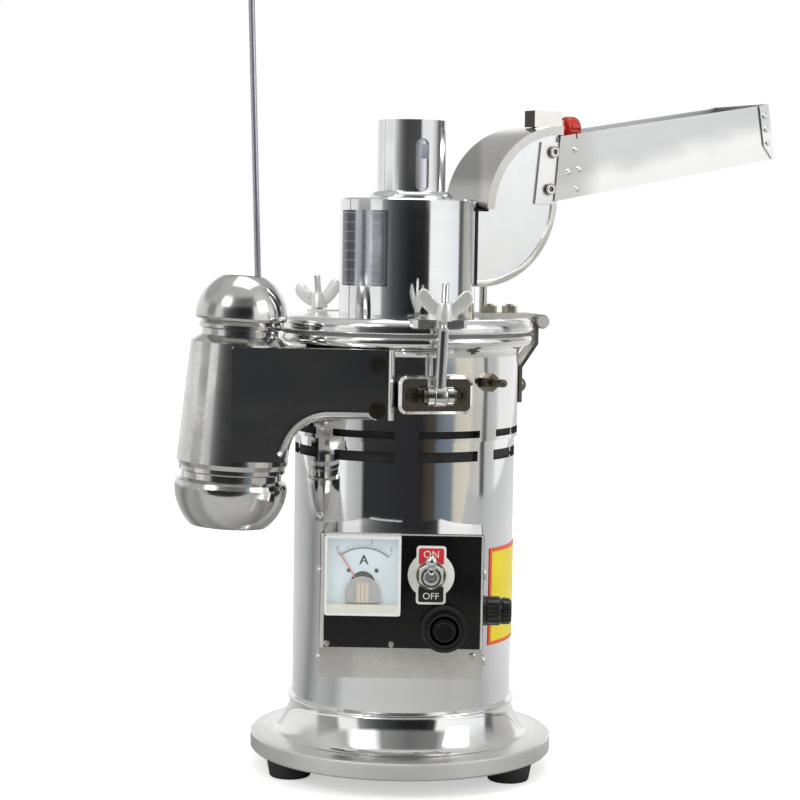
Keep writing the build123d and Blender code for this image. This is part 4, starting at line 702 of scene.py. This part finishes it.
def ruled(tree, spots, colour):
    """Pale frame and rules on the etched plate, over painted reflection bands across it."""
    inset = inset_of(tree, spots, radius=43.0, start=-159.5, stop=-106.5, low=303.5, high=350.0)
    frame_line = calculate(tree, "COMPARE", inset, 0.0017, 0.0003)
    parts = axes(tree, spots)
    step = calculate(tree, "FRACT", calculate(tree, "MULTIPLY", parts["Z"], 1.0 / rule_pitch))
    rule = calculate(tree, "LESS_THAN", step, 0.09)
    inside = calculate(tree, "GREATER_THAN", inset, 0.0042)
    lines = calculate(tree, "MAXIMUM", frame_line, calculate(tree, "MULTIPLY", rule, inside))
    painted_bands = ramp(tree, span(tree, parts["X"], plate_left, plate_right), band_tones)
    colour = mixed(tree, 1.0, colour, painted_bands, "MULTIPLY")
    return mixed(tree, calculate(tree, "MULTIPLY", lines, 0.35), colour, (0.62, 0.62, 0.68))


label_metal = marked_material(
    "label_metal", (0.25, 0.255, 0.28), (0.18, 0.185, 0.21), 0.12, 0.22, patch=50, grain=500,
    paint=ruled, Metallic=0.95
)
dress(label_metal, "nameplate")

# ---- Chute, hood and tray ----------------------------------------------------
# Welded from thin stainless sheet: two cheeks with a curved floor, a bent hood over them, and the
# sloping tray held by two straps with screws and rivets.
cheek_metal = marked_material(
    "cheek_metal", (0.86, 0.875, 0.88), (0.76, 0.79, 0.80), 0.28, 0.34, patch=14, grain=120,
    Metallic=1.0
)
dress(cheek_metal, "chute")


def painted_tower_reflection(tree, spots, colour):
    """Painted dark reflection of the tower on the hood's sheet, at its end by the tower."""
    by_tower = span(tree, axes(tree, spots)["X"], 0.0480, 0.0430, smooth=True)
    return mixed(tree, by_tower, colour, (0.42, 0.42, 0.41))


hood_metal = marked_material(
    "hood_metal", (0.70, 0.69, 0.665), (0.56, 0.55, 0.53), 0.14, 0.26, patch=26, grain=400,
    stretch=(1, 1, 0.4), waves=0.0002, paint=painted_tower_reflection, Metallic=1.0
)
dress(hood_metal, "hood", "chute_post")
chute_turn = 30
out_x, out_y = 0.866, 0.5
tray_start, tray_foot, tray_slope = 0.0865, 0.356, 0.18
# Where the painted highlight's edge meets the tray's foot, and how much steeper it climbs.
light_start, light_slope = 0.11, 0.07
light_foot = tray_foot - tray_slope * tray_start - light_slope * light_start


def tray_light_and_shade(tree, spots, colour):
    """Painted highlight along the tray's foot with a streaky edge, and painted shade at its start
    by the chute.
    """
    along = add_node(
        tree, "ShaderNodeMapping", Vector=spots, Rotation=(0, tray_slope, -0.52), Scale=(5, 20, 20)
    )
    streak = noise(tree, along.outputs[0], 3.0, 1.0)
    parts = axes(tree, spots)
    out = calculate(tree, "MULTIPLY", parts["X"], out_x)
    out = calculate(tree, "MULTIPLY_ADD", parts["Y"], out_y, out)
    foot = calculate(tree, "MULTIPLY_ADD", out, tray_slope + light_slope, light_foot)
    above = calculate(tree, "SUBTRACT", parts["Z"], foot)
    above = calculate(tree, "MULTIPLY_ADD", streak, 0.016, calculate(tree, "ADD", above, -0.008))
    bright = mixed(tree, span(tree, above, 0.022, 0.004, smooth=True), colour, (0.90, 0.90, 0.89))
    start = span(tree, out, 0.128, 0.108, smooth=True)
    return mixed(tree, calculate(tree, "MULTIPLY", start, 0.7), bright, (0.50, 0.50, 0.48))


tray_metal = marked_material(
    "tray_metal", (0.66, 0.67, 0.675), (0.60, 0.61, 0.615), 0.24, 0.34, patch=8, grain=90,
    stretch=(0.4, 1, 1), paint=tray_light_and_shade, Metallic=1.0
)
dress(tray_metal, "tray", "tray_end", "gate_plate")
strap_metal = marked_material(
    "strap_metal", (0.86, 0.86, 0.85), (0.76, 0.76, 0.75), 0.30, 0.42, patch=40, grain=500,
    Metallic=0.9
)
dress(strap_metal, "tray_straps")


def shaded_left_end(tree, spots, colour):
    """Painted shade on the gate block's left end face, the side turned from the light."""
    facing = add_node(tree, "ShaderNodeTexCoord").outputs["Normal"]
    left = calculate(tree, "MULTIPLY", axes(tree, facing)["X"], -1.0)
    return mixed(tree, span(tree, left, 0.5, 0.8), colour, (0.06, 0.056, 0.048))


block_metal = marked_material(
    "block_metal", (0.95, 0.93, 0.86), (0.80, 0.78, 0.71), 0.12, 0.22, patch=60, grain=700,
    paint=shaded_left_end, Metallic=1.0
)
dress(block_metal, "gate_block")
rivet_metal = marked_material(
    "rivet_metal", (0.82, 0.82, 0.80), (0.66, 0.66, 0.64), 0.18, 0.32, patch=200, grain=1500,
    Metallic=1.0
)
dress(rivet_metal, "tray_rivets", "box_screws")
screw_metal = marked_material(
    "screw_metal", (0.26, 0.235, 0.175), (0.13, 0.115, 0.085), 0.20, 0.38, patch=200, grain=1500,
    depth=0.00002, Metallic=1.0
)
dress(screw_metal, "machine_screws", "pivot_pins")
knob_red = marked_material(
    "knob_red", (0.66, 0.030, 0.015), (0.46, 0.015, 0.010), 0.25, 0.42, patch=80, depth=0.00002
)
dress(knob_red, "gate_knob")


def plate(outline, low, high, place=None, edge=0.0):
    """Mesh of a flat outline in millimetres, from height low to high, its edges rounded."""
    mesh = bmesh.new()
    face = mesh.faces.new([mesh.verts.new((x * MM, y * MM, low * MM)) for x, y in outline])
    raised = bmesh.ops.extrude_face_region(mesh, geom=[face])["geom"]
    moved = [item for item in raised if isinstance(item, bmesh.types.BMVert)]
    bmesh.ops.translate(mesh, verts=moved, vec=(0, 0, (high - low) * MM))
    bmesh.ops.recalc_face_normals(mesh, faces=mesh.faces)
    if edge:
        sharp = [line for line in mesh.edges if line.calc_face_angle(0.0) > math.radians(60)]
        bmesh.ops.bevel(
            mesh, geom=sharp, offset=edge * MM, affect="EDGES", segments=3, profile=0.5,
            material=-1, clamp_overlap=True
        )
    if place is not None:
        bmesh.ops.transform(mesh, matrix=place, verts=mesh.verts)
    return mesh


front_face = rotate(90, "X")
chute_place = rotate(chute_turn, "Z")
cheek_place = chute_place @ front_face
floor_centre, floor_radius, half_chute, rim_band, rim_rise = (38.0, 359.5), 56.0, 25.0, 4.2, 0.9
band = arc(floor_centre, floor_radius, -93, -2, 40)
band += arc(floor_centre, floor_radius - rim_band, -2, -93, 40)
rims = []
for low in (half_chute, -half_chute - rim_rise):
    rims.append(plate(band, low, low + rim_rise, cheek_place, edge=0.4))
rim_metal = marked_material(
    "rim_metal", (0.74, 0.735, 0.71), (0.64, 0.635, 0.61), 0.20, 0.32, patch=30, grain=500,
    Metallic=1.0
)
fit("cheek_rims", together(*rims), rim_metal, "lid", "sheet_steel")
# Dark strips on both cheeks where they meet the tower: painted shadow of the gap between cheek and
# tower.
gap_strip = [(34.3, 304.5), (35.9, 304.5), (35.9, 351.5), (34.3, 351.5)]
gap_strips = [plate(gap_strip, low, low + 0.4, cheek_place) for low in (half_chute, -half_chute - 0.4)]
fit("cheek_gap_shade", together(*gap_strips), shade_black, "lid", "dark_steel")
heads = []
head = [(0.0, 1.1), (1.9, 1.1), (1.9, 2.2), (3.2, 2.5), (3.8, 2.0), (3.8, -0.2), (0.0, -0.2)]
strap_out, strap_side, strap_foot, strap_lean = 86.5, 26.5, 356.0, 4.0 / 39.0
for side in (1, -1):
    for rise in (9.5, 33.0):
        place = shift(strap_out + strap_lean * rise, -strap_side * side, strap_foot + rise)
        heads.append(turned(head, chute_place @ place @ rotate(90 * side, "X"), 24))
fit("strap_sockets", together(*heads), screw_metal, "lid", "dark_steel")

# ---- Swing bolts -------------------------------------------------------------
# Polished steel eye bolts with rolled threads and cast wing nuts, hung on pins between the ears
# of two milled brackets. At rest they lean out of the lid's lugs.
bolt_metal = marked_material(
    "bolt_metal", (0.80, 0.80, 0.79), (0.64, 0.64, 0.63), 0.12, 0.24, patch=70, depth=0.00001,
    Metallic=1.0
)
cast_white = marked_material(
    "cast_white", (0.86, 0.86, 0.84), (0.74, 0.74, 0.72), 0.22, 0.38, patch=110, grain=1400,
    depth=0.00005, Metallic=0.55
)
bracket_metal = marked_material(
    "bracket_metal", (0.86, 0.86, 0.85), (0.76, 0.76, 0.75), 0.06, 0.13, patch=40, grain=600,
    Metallic=1.0
)
dress(bracket_metal, "bolt_brackets")
pin_out, pin_height, rest_lean = 86.0, 240.5, 8.6
nut_seat, thread_pitch, thread_end = 45.8, 1.1, 66.6


def eye_bolt():
    """Polished shank with a rolled thread at its top and an eye at its foot."""
    height = nut_seat - 4.6
    shank = [(0, 2.0), (3.4, 2.0), (3.4, nut_seat - 6.0), (2.0, height)]
    while height < thread_end:
        shank += [(2.3, height + 0.5 * thread_pitch), (2.0, height + thread_pitch)]
        height += thread_pitch
    shank += [(1.6, 67.8), (0, 68.0)]
    eye = arc((5.4, 3.0), 0.8, 0, 90, 4) + [(2.6, 3.8), (2.6, -3.8)]
    eye += arc((5.4, -3.0), 0.8, 270, 360, 4)
    eye.append(eye[0])
    return together(turned(shank, steps=32), turned(eye, rotate(90, "X"), 40))


def smoothed(outline, rounds=2):
    """Outline with its corners cut again and again until it is a soft curve."""
    for _ in range(rounds):
        cut = []
        for (x0, y0), (x1, y1) in zip(outline, outline[1:] + outline[:1]):
            cut.append((0.75 * x0 + 0.25 * x1, 0.75 * y0 + 0.25 * y1))
            cut.append((0.25 * x0 + 0.75 * x1, 0.25 * y0 + 0.75 * y1))
        outline = cut
    return outline


def wing_nut():
    """Cast hub with two rounded wings."""
    hub = [(2.4, 0.0), (5.2, 0.0), (5.6, 0.5), (5.3, 3.0), (4.2, 9.4), (3.7, 10.4), (2.4, 10.5)]
    meshes = [turned(hub + hub[:1], shift(z=nut_seat), 40)]
    wing = [(3.0, 1.2), (7.5, 2.6), (14.2, 8.4), (16.6, 13.0)]
    wing += [(14.8, 18.0), (10.6, 18.0), (6.4, 12.6), (3.0, 9.8)]
    upright = shift(z=nut_seat) @ rotate(90, "X")
    for side in (1, -1):
        leaf = smoothed([(side * x, z) for x, z in wing])
        meshes.append(plate(leaf[::side], -1.5, 1.5, upright, edge=0.9))
    return together(*meshes)


for label, azimuth, nut_turn in (("front", -76.0, 78.0), ("rear", 128.8, 30.0)):
    place = rotate(azimuth, "Z") @ shift(pin_out, 0, pin_height) @ rotate(rest_lean, "Y")
    bolt, nut = eye_bolt(), wing_nut()
    bmesh.ops.transform(bolt, matrix=place, verts=bolt.verts)
    bmesh.ops.transform(nut, matrix=place @ rotate(nut_turn, "Z"), verts=nut.verts)
    name = label + "_eye_bolt"
    fit(name, bolt, bolt_metal, label + "_bolt", "polished_steel", label + "_swing_bolt")
    name = label + "_cast_nut"
    fit(name, nut, cast_white, label + "_nut", "polished_steel", label + "_wing_nut")

# ---- Control box -------------------------------------------------------------
# Folded polished sheet, screwed to the shell's front, with a black lacquered panel over its face.
# A yellow plate with a red border is stuck to the shell beside it, blank.
box_metal = marked_material(
    "box_metal", (0.80, 0.79, 0.76), (0.72, 0.71, 0.685), 0.12, 0.22, patch=30, grain=500,
    Metallic=1.0
)
dress(box_metal, "control_box")
panel_black = marked_material(
    "panel_black", grey(0.004), grey(0.008), 0.20, 0.40, patch=50, grain=600, depth=0.00001,
    Specular_IOR_Level=0.3
)
sheet_face, panel_face = 93.9, 95.2
panel = [(-45.4, 91.8), (46.9, 91.8), (46.9, 158.8), (-45.4, 158.8)]
panel = plate(panel, sheet_face, panel_face, front_face, edge=0.3)
fit("lacquered_panel", panel, panel_black, "machine", "black_panel", "control_panel")
flange_metal = marked_material(
    "flange_metal", (0.80, 0.79, 0.75), (0.70, 0.69, 0.66), 0.3, 0.4, patch=60, grain=600,
    Metallic=0.4
)
flanges = []
for left, right, low, high, rise in (
    (-47.6, -45.5, 91.5, 159.4, 0.5),
    (47.0, 48.2, 91.5, 159.4, 0.5),
    (-45.5, 47.0, 158.9, 159.5, 0.9),
):
    strip = [(left, low), (right, low), (right, high), (left, high)]
    flanges.append(plate(strip, sheet_face, sheet_face + rise, front_face))
fit("box_flanges", together(*flanges), flange_metal, "machine", "sheet_steel")
heads = []
domed = [(0.0, -0.3), (3.9, -0.3), (3.9, 0.7), (3.4, 1.7), (2.4, 2.4), (1.1, 2.7), (1.1, 1.7)]
domed += [(0.0, 1.7), (0.0, -0.3)]
screw_y = -78.0
for side, edge in ((1, 48.5), (-1, -48.0)):
    for height in (82.0, 134.5):
        heads.append(turned(domed, shift(edge, screw_y, height) @ rotate(90 * side, "Y"), 28))
fit("side_screw_heads", together(*heads), rivet_metal, "machine", "chrome")


def bordered(tree, spots, colour):
    """Orange-red border round the yellow plate."""
    inset = inset_of(tree, spots, radius=69.3, start=-39.5, stop=10.0, low=84.5, high=144.5)
    return mixed(tree, span(tree, inset, 0.0020, 0.0026), (0.80, 0.10, 0.02), colour)


plate_yellow = marked_material(
    "plate_yellow", (0.88, 0.74, 0.01), (0.82, 0.66, 0.01), 0.30, 0.45, patch=60, grain=500,
    paint=bordered
)
dress(plate_yellow, "side_plate")

# ---- Meter -------------------------------------------------------------------
# Panel ammeter: white moulded case, printed dial behind a clear front, a smoked dome over the coil
# and a cream foot with two screws. Its needle rests at zero.
case_white = marked_material("case_white", (0.80, 0.81, 0.80), (0.72, 0.73, 0.72), 0.25, 0.40)
dress(case_white, "meter_case")
dial_paper = marked_material(
    "dial_paper", (0.74, 0.84, 0.88), (0.69, 0.79, 0.83), 0.5, 0.6, patch=60
)
dress(dial_paper, "meter_dial")
needle_red = marked_material("needle_red", (0.80, 0.22, 0.20), (0.70, 0.14, 0.12), 0.4, 0.5)
dress(needle_red, "meter_needle")
ink_grey = marked_material(
    "ink_grey", (0.20, 0.24, 0.27), (0.12, 0.15, 0.17), 0.5, 0.7, patch=300, grain=2000
)
dial_face, ink_rise, letter_rise = 100.3, 0.06, 0.04


def printed(outline):
    """Flat shape printed on the dial."""
    return plate(outline, dial_face, dial_face + ink_rise, front_face)


def scale_band(inner, outer, start, end, count):
    """Printed band along an arc about the needle's pivot."""
    outline = arc(needle_pivot, outer, start, end, count)
    return printed(outline + arc(needle_pivot, inner, end, start, count))


def lettering(text, size, x, z, face):
    """Raised letters that face the front, centred on (x, z), in millimetres."""
    words = bpy.data.curves.new("words", "FONT")
    words.body = text
    words.size = size * MM
    words.align_x = "CENTER"
    words.align_y = "CENTER"
    words.extrude = 0.03 * MM
    words.resolution_u = 4
    holder = bpy.data.objects.new("words", words)
    mesh = bmesh.new()
    mesh.from_mesh(holder.to_mesh())
    holder.to_mesh_clear()
    bpy.data.objects.remove(holder)
    bpy.data.curves.remove(words)
    bmesh.ops.transform(mesh, matrix=shift(x, -face, z) @ front_face, verts=mesh.verts)
    return mesh


needle_pivot = (-22.2, 129.4)
scale_start, scale_end, divisions = 128, 50, 25
marks = [scale_band(22.1, 22.9, scale_end, scale_start, 30)]
for step in range(divisions + 1):
    angle = scale_start - (scale_start - scale_end) * step / divisions
    reach = 25.4 if step % 5 == 0 else 24.3
    marks.append(scale_band(22.7, reach, angle - 0.4, angle + 0.4, 1))
for text, x, z in (("0", -37.6, 151.4), ("3", -17.6, 155.4), ("5", -6.0, 151.0)):
    marks.append(lettering(text, 3.4, x, z, dial_face + letter_rise))
fit("dial_ink", together(*marks), ink_grey, "machine", "black_plastic")
bold = [lettering("A", 8.0, x, 144.6, dial_face + letter_rise) for x in (-22.3, -21.9)]
bold.append(printed(arc((-22.6, 131.0), 7.2, 0, 180, 20)))
for centre in ((-30.8, 138.6), (-14.6, 138.6)):
    bold.append(printed(arc(centre, 1.3, 0, 337.5, 15)))
deep_ink = marked_material(
    "deep_ink", (0.012, 0.012, 0.014), (0.006, 0.006, 0.007), 0.4, 0.6, patch=300, grain=2000
)
fit("dial_letter", together(*bold), deep_ink, "machine", "black_plastic")
coil_offset = 0.0225


def coil_glow(tree, spots, colour):
    """Tan coil seen through the smoked dome."""
    parts = axes(tree, spots)
    off = calculate(tree, "ABSOLUTE", calculate(tree, "ADD", parts["X"], coil_offset))
    low = span(tree, parts["Z"], 0.1335, 0.1300, smooth=True)
    near = calculate(tree, "MULTIPLY", span(tree, off, 0.0042, 0.0026, smooth=True), low)
    tan = mixed(tree, near, colour, (0.66, 0.58, 0.44))
    line = calculate(tree, "MULTIPLY", calculate(tree, "COMPARE", off, 0.0012, 0.0004), low)
    return mixed(tree, calculate(tree, "MULTIPLY", line, 0.6), tan, (0.36, 0.30, 0.24))


dome_smoke = marked_material(
    "dome_smoke", (0.44, 0.44, 0.41), (0.34, 0.34, 0.315), 0.12, 0.25, patch=120, paint=coil_glow
)
dome = arc((-22.6, 125.2), 10.2, 0, 180, 28) + [(-32.8, 119.4), (-12.4, 119.4)]
dome = plate(dome, 100.4, 103.4, front_face, edge=1.4)
fit("coil_dome", dome, dome_smoke, "machine", "clear_plastic")
cream = marked_material("cream", (0.72, 0.715, 0.63), (0.64, 0.64, 0.56), 0.28, 0.45, patch=70)
meter_front = 105.1
foot = [(-44.8, 112.7), (-0.4, 112.7), (-0.4, 119.0), (-44.8, 119.0)]
foot = plate(foot, 95.4, meter_front, front_face, edge=0.8)
fit("meter_foot", foot, cream, "machine", "clear_plastic")
clear = marked_material(
    "clear", (0.90, 0.93, 0.94), (0.86, 0.89, 0.90), 0.03, 0.08, patch=60, Alpha=0.07
)
pane = [(-43.4, 119.2), (-1.8, 119.2), (-1.8, 157.9), (-43.4, 157.9)]
pane = plate(pane, 104.0, meter_front, front_face, edge=0.4)
fit("meter_pane", pane, clear, "machine", "clear_plastic", "meter_cover")

# ---- Toggle switch -----------------------------------------------------------
# Bat-handle toggle with a chromed bushing and nut over an indicator plate, red above for on and
# black below for off.
chrome = marked_material("chrome", grey(0.84), grey(0.74), 0.05, 0.12, Metallic=1.0)
dress(chrome, "toggle_switch")
switch_x, switch_z = 17.5, 135.7
switch_place = shift(switch_x, 0, switch_z) @ front_face
round_radius, tab_half, tab_top, corner = 13.8, 8.8, 15.4, 2
sides = math.degrees(math.acos(tab_half / round_radius))
inner = tab_half - corner
outline = arc((0, 0), round_radius, -sides, sides, 14)
outline += arc((inner, tab_top), corner, 0, 90, 4) + arc((-inner, tab_top), corner, 90, 180, 4)
outline += arc((0, 0), round_radius, 180 - sides, 180 + sides, 14)
outline += arc((-inner, -tab_top), corner, 180, 270, 4)
outline += arc((inner, -tab_top), corner, 270, 360, 4)
indicator = plate(outline, panel_face, panel_face + 0.8, switch_place, edge=0.25)
plate_white = marked_material(
    "plate_white", (0.76, 0.755, 0.71), (0.68, 0.675, 0.63), 0.22, 0.36, patch=80
)
fit("indicator_plate", indicator, plate_white, "machine", "switch_plate", "toggle_plate")
inlay_low, inlay_high = panel_face + 0.7, panel_face + 0.9
lobe_red = marked_material("lobe_red", (0.68, 0.02, 0.025), (0.55, 0.012, 0.02), 0.3, 0.45)
inlay = [(-7.4, 6.6), (7.4, 6.6), (7.4, 15.2), (6.4, 16.0), (-6.4, 16.0), (-7.4, 15.2)]
inlay = plate(inlay, inlay_low, inlay_high, switch_place)
fit("on_lobe", inlay, lobe_red, "machine", "red_plastic")
lobe_black = marked_material("lobe_black", grey(0.012), grey(0.02), 0.3, 0.45)
inlay = [(-7.4, -6.6), (-7.4, -15.2), (-6.4, -16.0), (6.4, -16.0), (7.4, -15.2), (7.4, -6.6)]
inlay = plate(inlay, inlay_low, inlay_high, switch_place)
fit("off_lobe", inlay, lobe_black, "machine", "black_plastic")
words = [lettering("ON", 6.0, switch_x, switch_z + 12.2, panel_face + 0.92)]
words.append(lettering("OFF", 5.6, switch_x, switch_z - 12.6, panel_face + 0.92))
fit("switch_words", together(*words), plate_white, "machine", "switch_plate")
olive = marked_material(
    "olive", (0.50, 0.48, 0.32), (0.36, 0.34, 0.22), 0.2, 0.35, patch=150, grain=1200, Metallic=1.0
)
washer = [(5.9, 96.0), (8.8, 96.0), (8.8, 96.6), (8.5, 96.9), (5.9, 96.9), (5.9, 96.0)]
fit("lock_washer", turned(washer, switch_place, 48), olive, "machine", "chrome")
hexagon = arc((0, 0), 8.2, 30, 330, 5)
nut = [plate(hexagon, 96.9, 99.4, switch_place, edge=0.5)]
collar = [(5.7, 99.2), (6.9, 99.2), (6.9, 100.3), (6.4, 100.9), (5.7, 100.9), (5.7, 99.2)]
bushing = [(3.4, 98.0), (5.6, 98.0), (5.6, 104.4), (5.1, 104.9), (3.9, 104.9), (3.4, 104.2)]
for profile in (collar, bushing + bushing[:1]):
    nut.append(turned(profile, switch_place, 48))
nickel = marked_material(
    "nickel", (0.88, 0.90, 0.88), (0.72, 0.74, 0.72), 0.20, 0.34, patch=150, grain=1200,
    Metallic=0.6
)
fit("dress_nut", together(*nut), nickel, "machine", "chrome", "toggle_nut")
bat = [(0.0, -2.0), (1.7, 2.0), (1.9, 6.0), (2.5, 14.0)] + arc((0, 22.7), 3.3, -55, 90, 10)
bat[-1] = (0.0, 26.0)
lever_y, lever_turn = -101.8, 58
bat = turned(bat, shift(switch_x, lever_y, switch_z) @ rotate(lever_turn, "X"), 40)
fit("bat_lever", bat, chrome, "switch_lever", "chrome", "toggle_lever", smooth_angle=60)

# ---- Overload protector and gland --------------------------------------------
# Black moulded bezel with a stepped collar round its reset button, and a ribbed cable gland in the
# box's right side. No cable is fitted.
moulded_black = marked_material("moulded_black", grey(0.01), grey(0.02), 0.22, 0.40, depth=0.00001)
dress(moulded_black, "breaker_body")
# The button's black is darker than the body's: painted shade in the recess round it.
shaded_button_black = marked_material(
    "shaded_button_black", grey(0.003), grey(0.006), 0.3, 0.5, Specular_IOR_Level=0.25
)
dress(shaded_button_black, "breaker_button")
# The bezel's black is lighter than the body's: a painted highlight on its rings.
highlit_bezel_black = marked_material(
    "highlit_bezel_black", (0.045, 0.045, 0.046), grey(0.03), 0.3, 0.45, depth=0.00001
)
breaker_place = shift(25.8, 0, 104.0) @ front_face @ shift(z=panel_face)
bezel = [(9.7, 1.0), (9.7, 0), (13.9, 0)] + arc((13.2, 2.3), 0.7, 0, 180, 6)
bezel += [(12.3, 1.3), (9.7, 1.0)]
collar = [(6.3, 1.0), (9.5, 1.0), (9.5, 7.0)] + arc((8.7, 7.2), 0.8, 0, 90, 4)
collar += [(6.8, 8.0), (6.3, 7.5), (6.3, 1.0)]
rings = together(*(turned(profile, breaker_place, 64) for profile in (bezel, collar)))
fit("breaker_rings", rings, highlit_bezel_black, "machine", "black_plastic", smooth_angle=60)
ridges, groove_depth, groove_share = 14, 0.07, 0.55
ribbed_from, ribbed_to, rib_root = 3.0, 17.0, 7.0
gland_place = shift(48.5, -66.0, 110.0) @ rotate(90, "Y")
profile = [(4.2, 0.1), (9.0, 0.1), (9.0, 2.5), (8.4, 2.8), (8.8, 3.2), (8.8, 10.4), (8.0, 11.2)]
profile += [(7.6, 12.0), (8.2, 12.6), (7.8, 16.6), (6.4, 17.9), (4.2, 17.9), (4.2, 0.1)]
gland = turned(profile, steps=84)
for point in gland.verts:
    x, y, z = point.co / MM
    grooved = math.cos(ridges * math.atan2(y, x)) > groove_share
    if grooved and ribbed_from < z < ribbed_to and math.hypot(x, y) > rib_root:
        point.co.xy *= 1.0 - groove_depth
bmesh.ops.transform(gland, matrix=gland_place, verts=gland.verts)
fit("gland_body", gland, moulded_black, "machine", "black_plastic", "cable_gland")
